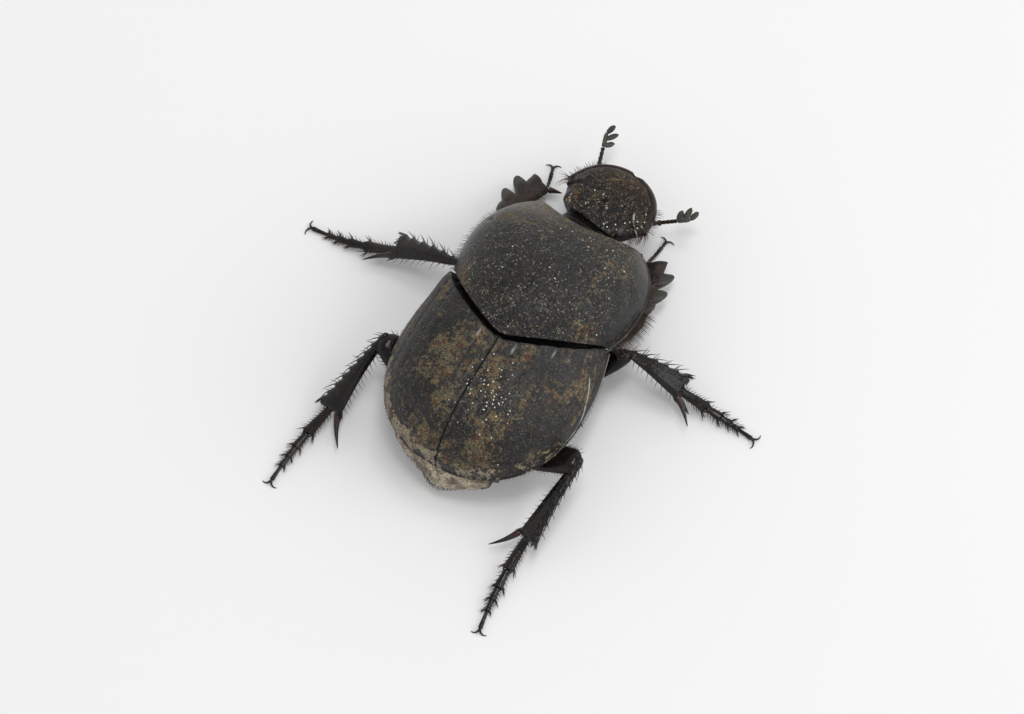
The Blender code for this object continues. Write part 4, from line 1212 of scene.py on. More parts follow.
def trunk_relief(name, points, s, v):
    """Punctures, the rims of the leg sockets, and the seams of the plates."""
    x, y = points[..., 0], points[..., 1]
    height = -0.020 * stipple(points, 0.17, 51, 0.30) + 0.012 * rough(points, 0.5, 52)
    if name == "abdomen":
        ring = (s * STERNITES + 0.35 * np.abs(x) / BELLY_HALF_WIDTH) % 1.0
        return height - 0.10 * bell(ring - 0.5, 0.10) + 0.05 * ring
    height = height - 0.035 * bell(x, 0.05) - 0.06 * bell(np.abs(x) - 1.95 - 0.10 * y / 3.0, 0.05)
    for pair, centre in COXA_AT.items():
        for sign in (-1, 1):
            aside = (x - sign * centre[0]) / COXA_RADII[pair][0]
            ahead = (y - centre[1]) / COXA_RADII[pair][1]
            height = height - 0.12 * bell(np.hypot(aside, ahead) - 1.12, 0.14)
    return height


def trunk_roof(span, roof, skin, s, v):
    """The roof that closes one length of the trunk."""
    return trunk_surface(span, roof, False, s, v)


def build_trunk(looks):
    """The three lengths of the trunk under the shell."""
    for name, (span, roof) in SECTIONS.items():
        plate("sternum_" + name, partial(trunk_surface, span, roof, True), partial(trunk_relief, name),
              partial(trunk_roof, span, roof), TRUNK_GRID, looks["sternum"], [name])


def tail_surface(s, v):
    """The tail plate: s from its lower edge to its top, v from left to right."""
    u = np.sin((v - 0.5) * math.pi)
    half = TAIL_HALF_WIDTH * (1.0 - 0.5 * (1.0 - s) ** 2.6)
    y = TAIL_Y + TAIL_CURVE * u * u + 0.10 * s * s + 0.10 * s
    return stack(u * half, y, lerp(TAIL_FOOT_Z, TAIL_TOP_Z, s))


def tail_relief(points, s, v):
    """Coarse punctures and lumps, and a raised lower rim."""
    height = -0.022 * stipple(points, 0.15, 61, 0.32) + 0.035 * rough(points, 0.30, 62)
    return height * smooth(np.minimum(s, side_gap(v)) / 0.04) + 0.02 * bell(s - 0.03, 0.02)


def tail_inner(skin, s, v):
    """The inner face of the tail plate, thickest at the midline."""
    return skin.grid + stack(0.0, lerp(*TAIL_THICKNESS, np.sin(v * math.pi) ** 3), 0.0)


def tail_marks(points, s, v):
    """Darker towards the plate's two sides."""
    return {"flank": smooth((0.28 - side_gap(v)) / 0.20)}


def build_tail(looks):
    """The tail plate below the tips of the wing cases."""
    return plate("tail_plate", tail_surface, tail_relief, tail_inner, TAIL_GRID, looks["tail"],
                 ["pygidium"], tail_marks)


# ---------------------------------------------------------------- head

def head_half_width(y):
    """Half width of the head at y: widest at the cheek corners, pinched at the temples."""
    behind = clamp((HEAD_GENA_Y - y) / (HEAD_GENA_Y - HEAD_REAR_Y))
    cheek = CHEEK_REACH * bell(y - HEAD_GENA_Y + 0.05, 0.30)
    return HEAD_WIDTH / 2 - HEAD_TEMPLE_PINCH * behind ** HEAD_TEMPLE_BEND + cheek


def head_front_y(u):
    """Front margin of the clypeus, with a shallow notch in the middle."""
    arc = HEAD_GENA_Y + HEAD_CLYPEUS_LENGTH * rounded(u, HEAD_SQUARENESS)
    return arc - NOTCH_DEPTH * bell(u * HEAD_WIDTH / 2, NOTCH_WIDTH)


def head_place(s, v):
    """x, y of a head point: s from the rear to the front margin, v from left to right."""
    u = np.sin((v - 0.5) * math.pi)
    rear_y = HEAD_REAR_Y + HEAD_REAR_HOLLOW * u ** 4
    y = lerp(rear_y, head_front_y(u), np.sin(s * math.pi / 2))
    return u * head_half_width(y), y


def head_rim_z(y):
    """Height of the rim, which drops towards the mouth."""
    return HEAD_RIM_Z + HEAD_SLOPE * (HEAD_GENA_Y + HEAD_CLYPEUS_LENGTH - y)


def head_radius(x, y):
    """0 at the middle of the head, 1 at its margin."""
    across = np.abs(x) / head_half_width(y)
    ahead = clamp((y - HEAD_GENA_Y) / HEAD_CLYPEUS_LENGTH)
    radius = (across ** HEAD_SQUARENESS + ahead ** HEAD_SQUARENESS) ** (1 / HEAD_SQUARENESS)
    return clamp(radius)


def head_top_z(x, y):
    """Height of the top of the head in its own frame."""
    return head_rim_z(y) + HEAD_DOME * dome(head_radius(x, y), HEAD_CROWN, HEAD_EDGE)


def head_surface(s, v):
    """Top of the head."""
    x, y = head_place(s, v)
    return from_head(stack(x, y, head_top_z(x, y)))


def head_lower(skin, s, v):
    """Underside of the head."""
    x, y = head_place(s, v)
    drop = HEAD_RIM_THICKNESS + HEAD_CHIN_DEPTH * dome(head_radius(x, y), 2.0, 0.8)
    return from_head(stack(x, y, head_rim_z(y) - drop))


def head_relief(points, s, v):
    """Granules and punctures, an upturned rim with a groove inside it, cheek seams and a pit in front."""
    x, y = head_place(s, v)
    inside = (1.0 - head_radius(x, y)) * HEAD_WIDTH / 2
    front = smooth((y - HEAD_GENA_Y + 0.5) / 0.4)
    pit = stipple(points, 0.12, 71, 0.32)
    grain, chance = dots(points, 0.11, 72)
    height = 0.014 * lumps(points, 0.6, 73) - 0.006 * pit
    height = (height + 0.005 * bell(grain, 0.26) * (chance > 0.4)) * smooth(inside / 0.10)
    height = height + front * (0.020 * bell(inside - 0.05, 0.07) - 0.045 * bell(inside - 0.17, 0.035))
    cheek = cheek_seam(x, y)
    ends = smooth((CHEEK_SEAM_REACH - np.abs(y - CHEEK_SEAM_Y)) / 0.15)
    height = height + (0.035 * bell(cheek, 0.035) - 0.050 * bell(cheek + 0.07, 0.04)) * ends
    return height - 0.13 * bell(np.hypot(x - FRONT_PIT[0], y - FRONT_PIT[1]), 0.08)


def cheek_seam(x, y):
    """Distance into the cheek from the curved seam that parts it from the rest of the head."""
    return CHEEK_RADIUS - np.hypot(np.abs(x) - CHEEK_CENTRE[0], y - CHEEK_CENTRE[1])


def head_marks(points, s, v):
    """Soil in patches, more at the left rear, over a brown front; pale dust and a painted glint line in the
    groove behind the rim, a painted highlight line on the seam of the right cheek, and painted glints,
    thickest at the rear and on the right cheek."""
    x, y = head_place(s, v)
    patch = rough(points, 0.6, 81)
    front = smooth((y - 1.5) / 1.0)
    left = smooth((-x - 0.3) / 0.8) * smooth((1.5 - y) / 0.8)
    soil = 0.17 + 0.62 * patch + 0.06 * front + 0.50 * left
    inside = (1.0 - head_radius(x, y)) * HEAD_WIDTH / 2
    # Pale dust and a painted glint line in the groove behind the rim.
    pale = 0.55 * bell(inside - 0.18, 0.030) * smooth(patch + 0.6) * smooth((y - 1.2) / 0.3)
    bare = smooth((inside - 0.10) / 0.08)
    ends = smooth((CHEEK_SEAM_REACH - np.abs(y - CHEEK_SEAM_Y)) / 0.12)
    seam = bell(cheek_seam(x, y) + 0.05, 0.07) * ends
    # A painted highlight line on the seam of the right cheek.
    arc = bell(cheek_seam(x, y), 0.017) * smooth((0.27 - np.abs(y - 1.38)) / 0.10) * (x > 0)
    arc = arc * smooth(0.9 + 1.4 * lumps(points, 0.09, 82))
    pit = bell(np.hypot(x - FRONT_PIT[0], y - FRONT_PIT[1]), 0.12)
    soil = soil * bare * (1.0 - seam) * (1.0 - pit)
    # Painted glints, thickest at the rear and about one place on the right cheek.
    rear = smooth((1.5 - y) / 0.8)
    cheek = bell(np.hypot(x - CHEEK_PAINTED_GLINT_AT[0], y - CHEEK_PAINTED_GLINT_AT[1]), 0.30)
    spark = (0.14 + 0.26 * rear + 0.60 * cheek) * bare * (1.0 - pit)
    grain = smooth((inside - 0.12) / 0.08) * (1.0 - seam) * (1.0 - 0.55 * front)
    brown = np.clip(0.9 * front + 0.5 * left, 0.0, 0.9)
    return {"soil": clamp(soil), "pale": pale, "polish": np.maximum(seam, 0.6 * (1.0 - bare)),
            "grain": grain, "worn": 0.85 * arc, "spark": spark * (1.0 - 0.4 * front), "brown": brown}


def build_head(looks):
    """Head shield, eyes, neck and mouthparts."""
    skin = plate("head_shield", head_surface, head_relief, head_lower, HEAD_GRID, looks["head"],
                 ["head"], head_marks)
    ahead = turned_by_head((0.0, 1.0, 0.0))
    aside = turned_by_head((1.0, 0.0, 0.0))
    for side, sign in SIDES.items():
        x, y = sign * EYE_AT[0], EYE_AT[1]
        centre = from_head(stack(x, y, head_top_z(x, y) - EYE_SINK * EYE_RADII[2]))
        rings = ellipsoid_rings(centre, EYE_RADII, ahead, aside)
        loft_piece("compound_eye_" + side, [rings], looks["eye"], ["eye_" + side])
    steps = 30
    path = line(NECK_FROM, (-math.sin(HEAD_TURN), math.cos(HEAD_TURN), -NECK_DIP), NECK_LENGTH, steps)
    half = NECK_HALF_WIDTH * (1.0 - 0.12 * ramp(steps) ** 2)
    neck = rings_round(path, (1.0, 0.0, 0.0), half, half, NECK_FLATNESS * half, 48)
    loft_piece("neck_collar", [neck], looks["neck"], ["neck"],
               lambda points, s, v: 0.012 * np.cos(s * 50.0) + 0.01 * lumps(points, 0.3, 91))
    build_mouth(looks, ahead, aside)
    return skin


def build_mouth(looks, ahead, aside):
    """Lower lip, jaws and palps beneath the head shield."""
    x, y, z = MOUTH_AT
    parts = [ellipsoid_rings(from_head(stack(x, y, z)) + [0.0, 0.0, 0.10], LIP_RADII, ahead, aside)]
    for side, sign in SIDES.items():
        root = from_head(stack(sign * JAW_X, y, z + 0.12))
        parts.append(ellipsoid_rings(root, JAW_RADII, ahead, aside, 16, 20))
        start = from_head(stack(sign * PALP_X, y + 0.15, z))
        for heading, length in PALP_JOINTS:
            step = turned_by_head(heading_vector(side, heading, PALP_RISE))
            width = PALP_RADIUS * rounded_ends(14, 0.25, 0.25)
            parts.append(tube(line(start, step, length, 14), width, 14))
            start = start + step * length * 0.94
    loft_piece("mouth_lip_and_palps", parts, looks["membrane"], ["mouthparts"],
               roughened(0.008, 0.12, 92))


def antenna_path(side):
    """Centre line of scape and funicle, from under the head to the club."""
    first, last = ANTENNA_HEADING[side]
    steps = 40
    t = ramp(steps)
    turn = np.radians(lerp(first, last, t))
    step = STEM_REACH[side] / (steps - 1)
    run = stack(SIDES[side] * np.sin(turn), np.cos(turn), STEM_RISE * t ** 1.5)[:-1] * step
    return from_head(chain(run) + mirrored(side, SCAPE_ROOT))


def path_part(path, start, end, steps):
    """Points of a path between two shares of it."""
    t = np.linspace(start, end, steps) * (len(path) - 1)
    return np.stack([np.interp(t, np.arange(len(path)), path[:, k]) for k in range(3)], axis=-1)


def build_antenna(side, looks):
    """A long first joint, a bulb, four beads and a club of three leaves on a stalk."""
    path = antenna_path(side)
    beads = [(0.59 + BEAD_STEP * k, 0.705 + BEAD_STEP * k, 0.055, 0.080) for k in range(STEM_BEADS)]
    parts = []
    for start, end, root, tip in STEM_JOINTS + beads:
        swell = lerp(root, tip, ramp(16)) * rounded_ends(16, 0.15, 0.25)
        parts.append(tube(path_part(path, start, min(end, 1.0), 16), swell, 16))
    loft_piece("feeler_stem_" + side, parts, looks["feeler"], ["antenna_stem_" + side],
               roughened(0.006, 0.06, 95))
    build_club(side, path, looks)


def build_club(side, path, looks):
    """Three flat leaves that open to the front and the middle, on a short dark stalk."""
    ahead = unit(path[-1] - path[-3])
    inward = unit(np.cross(UP, ahead)) * SIDES[side]
    stalk = line(path[-1], ahead, CLUB_STEP * 2.4, 16)
    parts = [tube(stalk, CLUB_STALK_RADIUS * rounded_ends(16, 0.2, 0.3), 16)]
    steps = 22
    t = ramp(steps)
    outline = np.sin(math.pi * (0.12 + 0.86 * t) ** 1.15) ** 0.6
    width = LEAF_WIDTH * outline * rounded_ends(steps, 0.1, 0.25)
    depth = LEAF_DEPTH * rounded_ends(steps, 0.2, 0.3)
    for k, angle in enumerate(LEAF_FANS):
        fan = math.radians(angle)
        aim = unit(ahead * math.cos(fan) + inward * math.sin(fan) + np.array([0.0, 0.0, 0.10]))
        root = path[-1] + ahead * (CLUB_STEP * (k + 0.25))
        across = np.cross(aim, UP) + np.array([0.0, 0.0, 0.5])
        leaf = line(root, aim, LEAF_LENGTH + MIDDLE_LEAF_LONGER * (k == 1), steps)
        parts.append(rings_round(leaf, across, width, width, depth, 20))
    loft_piece("feeler_club_" + side, parts, looks["club"], ["antenna_club_" + side],
               roughened(0.006, 0.05, 96))


# ---------------------------------------------------------------- legs

def femur_profile(t):
    """Relative width of a femur: narrow at the hip, full in the middle, rounded at the knee."""
    swell = np.sin(math.pi * clamp(t * 0.80 + 0.04)) ** 0.7
    return lerp(0.55, 1.0, swell)


def leg_relief(points, s, v):
    """Fine punctures and shallow unevenness of a smooth leg."""
    return -0.010 * stipple(points, 0.14, 101, 0.25) + 0.008 * lumps(points, 0.4, 102)


def angle_between(a, b):
    """Angle between two directions."""
    return math.acos(float(np.clip(np.dot(a, b), -1.0, 1.0)))


def hip_and_knee(pair, side):
    """Centres of the two ends of a thigh."""
    hip = mirrored(side, HIP[pair])
    aim = limb_direction(pair, side, "femur")
    bend = angle_between(aim, limb_direction(pair, side, "tibia"))
    knee = hip + aim * (FEMUR_LENGTH[pair] + KNEE_GAP + TIBIA_ROOT_RADIUS * math.sin(bend))
    return hip, knee + np.array(KNEE_SHIFT.get((pair, side), (0.0, 0.0, 0.0)))


def build_coxa(pair, side, looks):
    """The socket joint that a leg turns on."""
    rings = ellipsoid_rings(mirrored(side, COXA_AT[pair]), COXA_RADII[pair])
    loft_piece(f"hip_{pair}_{side}", [rings], looks["leg"], [f"coxa_{pair}_{side}"], leg_relief)


def build_femur(pair, side, looks, coat):
    """The thigh: a flat spindle, slim and raised at the hip, rounded at the knee. Returns the knee."""
    hip, knee = hip_and_knee(pair, side)
    steps = 56
    t = ramp(steps)
    inward = 1.0 - smooth(t / HIP_TAPER_REACH)
    width = FEMUR_WIDTH[pair] / 2 * femur_profile(t) * rounded_ends(steps, 0.10, KNEE_TAPER[pair])
    width = width * (1.0 - 0.30 * inward)
    depth = FEMUR_DEPTH / 2 * (rounded_ends(steps, 0.10, 0.11) * (1.0 - 0.45 * inward))
    length = np.linalg.norm(knee - hip) + KNEE_OVERLAP.get((pair, side), 0.06)
    path = line(hip, unit(knee - hip), length, steps)
    path[:, 2] += HIP_LIFT[pair] * inward
    rings = rings_round(path, (0.0, 1.0, 0.0), width, width, depth, 36, 0.10)
    skin, = loft_piece(f"thigh_{pair}_{side}", [rings], looks["femur"], [f"femur_{pair}_{side}"],
                       leg_relief)
    for v in (0.0, 0.04, 0.46, 0.5):
        coat.add(skin, np.linspace(0.45, 0.95, 14), v, 45, 0.24, 0.009)
    return knee


def digging_outer(t):
    """Reach of the digging shin's outer edge: a widening blade with four blunt teeth."""
    blade = lerp(*DIGGING_BLADE, t)
    tooth = np.zeros_like(t)
    for place, reach in DIGGING_TEETH:
        rise = clamp(1.0 - np.abs((t - place) / DIGGING_TOOTH_HALF_LENGTH) ** 2.2) ** 0.60
        tooth = np.maximum(tooth, rise * (reach - lerp(*DIGGING_BLADE, place)))
    return blade + tooth


def build_fore_tibia(side, knee, looks, coat):
    """Digging shin: a broad toothed blade; returns the ankle and its direction."""
    aim = limb_direction("fore", side, "tibia")
    steps = 150
    t = ramp(steps)
    path = line(knee, aim, TIBIA_LENGTH["fore"], steps)
    inner = lerp(*DIGGING_INNER, t)
    ends = rounded_ends(steps, 0.08, 0.035)
    rings = rings_round(path, (SIDES[side], 0.0, DIGGING_TILT), digging_outer(t) * ends, inner * ends,
                        DIGGING_DEPTH * (1.0 - 0.25 * t) * ends, 40, 0.35, DIGGING_SLANT)

    def relief(points, s, v):
        """Two keels along the upper and lower face, punctures and shallow lumps."""
        keel = 0.02 * (bell(v - 0.17, 0.05) + bell(v - 0.83, 0.05))
        return keel - 0.014 * stipple(points, 0.13, 111, 0.3) + 0.012 * rough(points, 0.3, 112)

    def marks(points, s, v):
        """The teeth, where the blade reaches out."""
        reach = np.cos(2.0 * math.pi * v) * digging_outer(s)
        return {"tooth": smooth((reach - lerp(*DIGGING_BLADE, s) * 0.9) / 0.22)}

    skin, = loft_piece("digging_shin_" + side, [rings], looks["digging"],
                       ["tibia_fore_" + side], relief, marks)
    coat.add(skin, np.linspace(0.25, 0.92, 16), 0.5, 40, 0.22, 0.011)
    coat.add(skin, np.linspace(0.15, 0.9, 12), 0.20, 60, 0.14, 0.009)
    return path[-1], aim


def saw_edge(t, teeth):
    """Teeth that lean towards the foot: each rises slowly and ends in a step."""
    phase = (t * teeth) % 1.0
    return phase ** 1.4 * smooth((1.0 - phase) / 0.14) * smooth(t / 0.15) * smooth((0.97 - t) / 0.05)


def build_walking_tibia(pair, side, knee, looks, coat, spines):
    """Mid or hind shin: a trumpet with a saw-toothed outer edge; returns the ankle and its direction."""
    heading = POSE[pair, side]["tibia"][0]
    aim = limb_direction(pair, side, "tibia")
    steps = 130
    t = ramp(steps)
    tuck = KNEE_TUCK.get((pair, side), 0.20)
    root = knee - aim * tuck
    length = TIBIA_LENGTH[pair] + tuck - SHIN_SHORTER.get((pair, side), 0.06)
    path = line(root, aim, length, steps)
    path[:, 2] += SHIN_ARCH * np.sin(math.pi * t) ** 2
    width = lerp(SHIN_ROOT_HALF_WIDTH[pair], SHIN_TIP_HALF_WIDTH[pair], t ** SHIN_FLARE[pair])
    saw = SAW_HEIGHT * saw_edge(t, SAW_TEETH[pair]) * lerp(0.6, 1.0, t)
    outer = width + saw + SHIN_LIP * bell(t - 0.96, 0.05)
    ends = rounded_ends(steps, 0.06, 0.05)
    depth = lerp(*SHIN_HALF_DEPTH, t) * ends
    across = heading_vector(side, heading - 90, SHIN_ROLL.get((pair, side), 0))
    rings = rings_round(path, across, outer * ends, width * ends, depth, 36, 0.25, 0.10)

    def relief(points, s, v):
        """Two ridges along the upper face, and punctures."""
        ridge = bell(v - 0.13, 0.03) + bell(v - 0.37, 0.03)
        return 0.035 * ridge * smooth(s / 0.2) - 0.008 * stipple(points, 0.13, 121, 0.3)

    skin, = loft_piece(f"shin_{pair}_{side}", [rings], looks["leg"], [f"tibia_{pair}_{side}"],
                       relief)
    add_shin_bristles(pair, skin, coat, spines)
    return path[-1], aim


def add_shin_bristles(pair, skin, coat, spines):
    """Stout spines at the teeth and round the tip of a walking shin, and rows of hairs along it."""
    teeth = SAW_TEETH[pair]
    corners = (np.arange(teeth) + 0.86) / teeth
    spines.add(skin, corners[:-1], 0.0, 42, 0.42, 0.022, curl=0.22, jitter=0.08)
    spines.add(skin, corners[:-1] - 0.06, 0.03, 40, 0.30, 0.016, curl=0.15, jitter=0.12)
    spines.add(skin, corners[:-1] - 0.03, 0.97, 46, 0.26, 0.016, curl=0.15, jitter=0.12)
    coat.add(skin, np.linspace(0.20, 0.90, 9 if pair == "mid" else 13), 0.5, 26, 0.32, 0.012, jitter=0.10)
    for v, lean in ((0.25, 66), (0.75, 70), (0.14, 60), (0.36, 60), (0.88, 62)):
        coat.add(skin, np.linspace(0.15, 0.95, 12), v, lean, 0.20, 0.010, jitter=0.16)
    comb = np.arange(0.0, 1.0, 1.0 / COMB_SPINES)
    spines.add(skin, np.full(COMB_SPINES, 0.965), comb, 74, 0.24, 0.030, jitter=0.14)
    for place in (0.0, 0.5):
        spread = place + np.linspace(-0.07, 0.07, 8)
        spines.add(skin, np.full(8, 0.95), spread % 1.0, 60, 0.30, 0.032, jitter=0.12)


def tarsus_path(pair, side, ankle):
    """The foot joints in one sweep from the ankle down to the floor."""
    first, last, reach = POSE[pair, side]["tarsus"]
    length = TARSUS_LENGTH[pair] * reach
    steps = 61
    t = ramp(steps)
    headings = lerp(first, last, (t[1:] + t[:-1]) / 2)
    run = np.array([heading_vector(side, heading, 0) for heading in headings]) * (length / (steps - 1))
    path = ankle + chain(run)
    path[:, 2] = lerp(FOOT_Z[pair], ankle[2], (1.0 - t) ** 2.2)
    return path


def build_foot(pair, side, ankle, aim, looks, coat, spines):
    """Five flattened joints that overlap like cups, and a pair of claws."""
    inward = unit(np.cross(aim, (0.0, 0.0, -SIDES[side])))
    start = ankle + aim * TARSUS_ROOT[pair][0] + inward * TARSUS_ROOT[pair][1]
    path = tarsus_path(pair, side, start)
    wide, slim = TARSUS_WIDTH[pair]
    edges = np.concatenate([[0.0], np.cumsum(TARSUS_SHARES)])
    steps = 22
    t = ramp(steps)
    parts = []
    for k in range(5):
        if k < 4:
            tip = lerp(wide, 1.25 * slim, k / 3)
            width = lerp(tip * 0.66, tip, t ** 1.3)
        else:
            width = lerp(slim * 0.62, slim, t)
        width = width * rounded_ends(steps, 0.12, 0.05)
        joint = path_part(path, edges[k], min(edges[k + 1] + 0.012, 1.0), steps)
        depth = np.maximum(width * 0.62, 0.03)
        parts.append(rings_round(joint, UP, depth, depth, width, 20))
    skins = loft_piece(f"foot_{pair}_{side}", parts, looks["foot"], [f"tarsus_{pair}_{side}"],
                       roughened(0.006, 0.10, 131))
    if pair != "fore":
        add_foot_bristles(skins[:-1], coat, spines)
    build_claws(pair, side, path, looks)


def add_foot_bristles(skins, coat, spines):
    """Spines round the tip of each foot joint but the last, and rows of hairs along it."""
    for k, skin in enumerate(skins):
        fringe = lerp(0.34, 0.22, k / 3)
        for v in (0.20, 0.25, 0.30, 0.70, 0.75, 0.80):
            spines.add(skin, [0.88, 0.95], v, [56, 64], fringe, [0.024, 0.028], jitter=0.10)
        rows = np.linspace(0.15, 0.85, 9 if k == 0 else 4)
        for v in (0.22, 0.28, 0.72, 0.78):
            coat.add(skin, rows, v, 46, 0.20, 0.012, jitter=0.14)


def build_claws(pair, side, path, looks):
    """Two slender hooks that part at the root and curl outward and down."""
    ahead = unit((path[-1] - path[-4]) * [1.0, 1.0, 0.0])
    aside = np.array([ahead[1], -ahead[0], 0.0])
    size = CLAW_LENGTH[pair]
    steps = 18
    t = ramp(steps)
    parts = []
    for sign in (-1, 1):
        turn = np.radians(lerp(*CLAW_TURN, t ** 1.2)) * sign
        run = np.outer(np.cos(turn), ahead) + np.outer(np.sin(turn), aside)
        hook = path[-1] + chain(run[:-1]) * size / (steps - 1)
        hook[:, 2] = lerp(path[-1][2], CLAW_RADIUS[1], smooth(t * 1.1))
        parts.append(tube(hook, lerp(*CLAW_RADIUS, t ** 0.8), 12))
    loft_piece(f"hooks_{pair}_{side}", parts, looks["claw"], [f"claws_{pair}_{side}"])


def build_spurs(pair, side, ankle, looks):
    """Movable spines at the inner corner of a shin's tip."""
    heading = POSE[pair, side]["tibia"][0]
    spread = POSE[pair, side]["spur"]
    inward = heading_vector(side, heading + 90 * SPUR_SIDE[pair], 0)
    tibia_aim = limb_direction(pair, side, "tibia")
    steps = 30
    t = ramp(steps)
    for i, length in enumerate(SPUR_LENGTHS[pair]):
        aim = heading_vector(side, heading + (spread - SPUR_FAN * i) * SPUR_SIDE[pair], SPUR_DIP)
        root = ankle + inward * 0.30 - tibia_aim * 0.05
        root[2] -= 0.20 * i
        bow = np.outer(SPUR_BOW * length * np.sin(math.pi * t), -inward)
        path = line(root, aim, length + 0.10, steps) + bow
        radius = lerp(*SPUR_RADIUS, t ** 1.2) * rounded_ends(steps, 0.15, 0.02)
        rings = rings_round(path, UP, radius * 0.8, radius * 0.8, radius, 18)
        short = "" if i == 0 else "_short"
        loft_piece(f"spine_{pair}_{side}{short}", [rings], looks["spur"],
                   [f"spur_{pair}_{side}{short}"], marks=lambda points, s, v: {"tip": s})


def build_legs(looks):
    """All six legs, from the coxae to the claws."""
    for number, (pair, side) in enumerate(POSE):
        coat = Bristles(LEG_HAIR_SEED + number)
        spines = Bristles(LEG_SPINE_SEED + number)
        build_coxa(pair, side, looks)
        knee = build_femur(pair, side, looks, coat)
        if pair == "fore":
            ankle, aim = build_fore_tibia(side, knee, looks, coat)
        else:
            ankle, aim = build_walking_tibia(pair, side, knee, looks, coat, spines)
        build_foot(pair, side, ankle, aim, looks, coat, spines)
        build_spurs(pair, side, ankle, looks)
        coat.build(f"hairs_{pair}_{side}", looks["hair"])
        if spines.groups:
            spines.build(f"spines_{pair}_{side}", looks["spine"])


# ---------------------------------------------------------------- hairs of the body

def build_body_hair(looks, skins):
    """Fringes of the pronotum, head, wing cases and tail plate."""
    coat = Bristles(BODY_HAIR_SEED)
    for place in (0.004, 0.996):
        coat.add(skins["pronotum"], np.linspace(0.02, 0.80, 60), place, -12, 0.24, 0.011)
    comb = np.linspace(0.03, 0.50, 62)
    coat.add(skins["pronotum"], comb, 0.994, -8, 0.54, 0.014, curl=-0.14, jitter=0.035)
    coat.build("hairs_pronotum", looks["hair"])

    coat = Bristles(BODY_HAIR_SEED + 1)
    head = skins["head"]
    for place, low, count in ((0.004, 0.55, 12), (0.996, 0.25, 34)):
        coat.add(head, np.linspace(low, 0.99, count), place, -20, 0.44, 0.010, curl=-0.35, jitter=0.08)
    for low, high, count in ((0.02, 0.26, 26), (0.80, 0.98, 22)):
        coat.add(head, np.full(count, 0.997), np.linspace(low, high, count), 20, 0.28, 0.010)
    coat.build("hairs_head", looks["hair"])

    coat = Bristles(BODY_HAIR_SEED + 2)
    for side in SIDES:
        coat.add(skins[side], np.linspace(0.25, 0.98, 46), 0.997, 30, 0.13, 0.008, jitter=0.15)
        coat.add(skins[side], np.full(40, 0.997), np.linspace(0.05, 0.98, 40), 20, 0.11, 0.008, jitter=0.15)
    coat.build("hairs_wing_cases", looks["hair"])

    coat = Bristles(BODY_HAIR_SEED + 3)
    random = np.random.default_rng(TAIL_HAIR_SEED)
    rows = random.uniform(0.05, 0.75, 140)
    columns = random.uniform(0.12, 0.88, 140)
    coat.add(skins["tail"], rows, columns, -55, 0.15, 0.008)
    coat.add(skins["tail"], np.full(90, 0.01), np.linspace(0.04, 0.96, 90), -60, 0.22, 0.011)
    coat.build("hairs_tail", looks["hair"])


# ---------------------------------------------------------------- studio

def build_floor():
    """A plain pale floor."""
    mesh = bpy.data.meshes.new("floor")
    corners = [(x * FLOOR_HALF, y * FLOOR_HALF, 0.0) for x, y in ((-1, -1), (1, -1), (1, 1), (-1, 1))]
    mesh.from_pydata(corners, [], [(0, 1, 2, 3)])
    look = Look("floor_white")
    cloud = look.noise(30.0, 2.0)
    colour = look.blend(cloud, *FLOOR_COLOURS)
    mesh.materials.append(look.finish(colour, 0.6, None, Specular_IOR_Level=0.2))
    floor = bpy.data.objects.new("floor", mesh)
    bpy.context.scene.collection.objects.link(floor)


def add_light(name, place, size, power):
    """A square white lamp that faces the beetle."""
    lamp = bpy.data.lights.new(name, "AREA")
    lamp.size = size
    lamp.energy = power
    thing = bpy.data.objects.new(name, lamp)
    thing.location = place
    thing.rotation_mode = "QUATERNION"
    thing.rotation_quaternion = Vector(place).to_track_quat("Z", "Y")
    bpy.context.scene.collection.objects.link(thing)


def build_world():
    """Light from all round, brightest towards the horizon and dimmer overhead."""
    world = bpy.data.worlds.new("studio")
    world.use_nodes = True
    nodes, links = world.node_tree.nodes, world.node_tree.links
    place = nodes.new("ShaderNodeTexCoord")
    split = nodes.new("ShaderNodeSeparateXYZ")
    span = nodes.new("ShaderNodeMapRange")
    span.interpolation_type = "SMOOTHSTEP"
    for key, value in SKY_FALL.items():
        span.inputs[key].default_value = value
    links.new(place.outputs["Generated"], split.inputs["Vector"])
    links.new(split.outputs["Z"], span.inputs["Value"])
    links.new(span.outputs["Result"], nodes["Background"].inputs["Strength"])
    nodes["Background"].inputs["Color"].default_value = (1.0, 1.0, 1.0, 1.0)
    bpy.context.scene.world = world


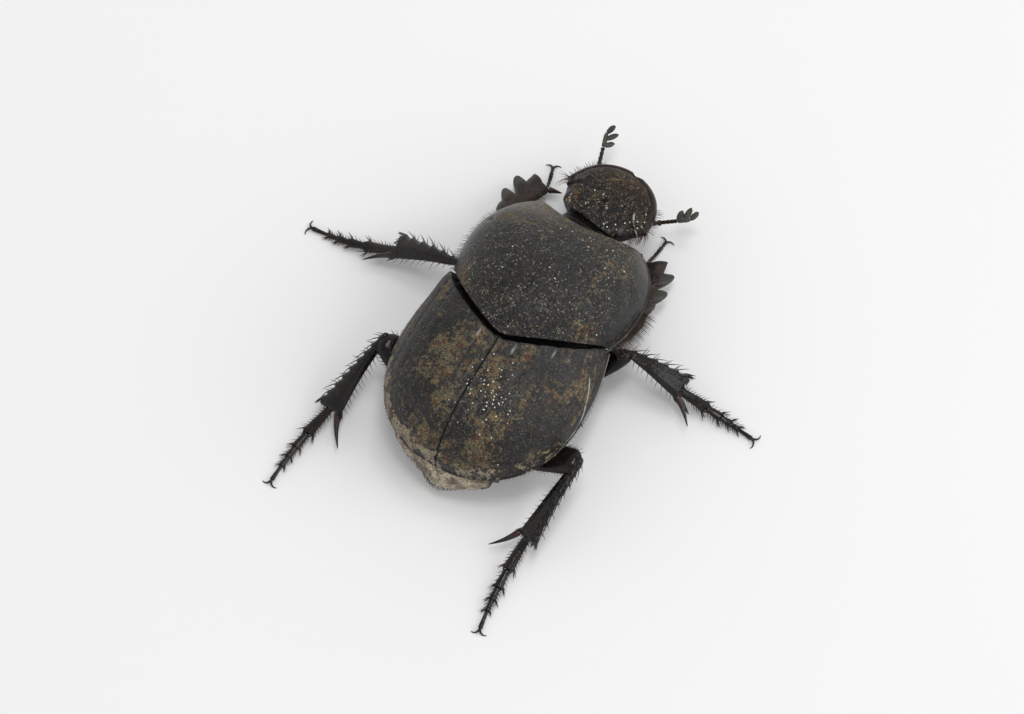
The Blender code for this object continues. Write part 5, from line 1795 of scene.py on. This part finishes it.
def build_studio():
    """Soft light all round, a soft box at the right, two small bright lamps overhead, and the floor."""
    build_world()
    bpy.context.scene.view_settings.view_transform = "Standard"
    for name, (place, size, power) in LAMPS.items():
        add_light(name, place, size, power)
    build_floor()


def build_camera():
    """A long lens that looks steeply down on the beetle, rolled about its own axis."""
    flat = math.sin(CAMERA_TILT)
    back = Vector((flat * math.cos(CAMERA_AZIMUTH), flat * math.sin(CAMERA_AZIMUTH), math.cos(CAMERA_TILT)))
    ahead = Vector((0.0, 1.0, 0.0))
    up = (ahead - back * ahead.dot(back)).normalized()
    right = up.cross(back)
    c, s = math.cos(CAMERA_ROLL), math.sin(CAMERA_ROLL)
    right, up = right * c + up * s, up * c - right * s
    lens = bpy.data.cameras.new("camera")
    lens.lens = CAMERA_LENS
    lens.sensor_width = CAMERA_SENSOR
    lens.clip_start, lens.clip_end = CAMERA_CLIP
    camera = bpy.data.objects.new("camera", lens)
    centre = Vector(Body.place(CAMERA_TARGET)) + back * (CAMERA_DISTANCE * MM)
    axes = Matrix((right, up, back)).transposed().to_4x4()
    camera.matrix_world = Matrix.Translation(centre) @ axes
    bpy.context.scene.collection.objects.link(camera)
    bpy.context.scene.camera = camera


# ---------------------------------------------------------------- all of it

def build_looks():
    """All the materials."""
    looks = {"cuticle": cuticle_look("cuticle_soiled_and_painted_glints", 0.0, 0.58, 0.26)}
    for key, values in GLOSSES.items():
        looks[key] = leg_look(*values)
    looks["digging"] = digging_look()
    looks["spur"] = spur_look()
    looks["club"] = club_look()
    looks["tail"] = tail_look()
    looks["membrane"] = membrane_look()
    looks["eye"] = eye_look()
    looks["hair"] = bristle_look("hair_brown", *HAIR_COLOURS)
    looks["spine"] = bristle_look("spine_dark", *SPINE_COLOURS)
    looks["head"] = cuticle_look("cuticle_head", 0.42, 0.72, 0.11)
    return looks


def main():
    """Build every piece over the frame, then the studio."""
    looks = build_looks()
    skins = {"pronotum": build_pronotum(looks), **build_elytra(looks)}
    build_trunk(looks)
    skins["tail"] = build_tail(looks)
    skins["head"] = build_head(looks)
    for side in SIDES:
        build_antenna(side, looks)
    build_legs(looks)
    build_body_hair(looks, skins)
    build_studio()
    build_camera()


main()
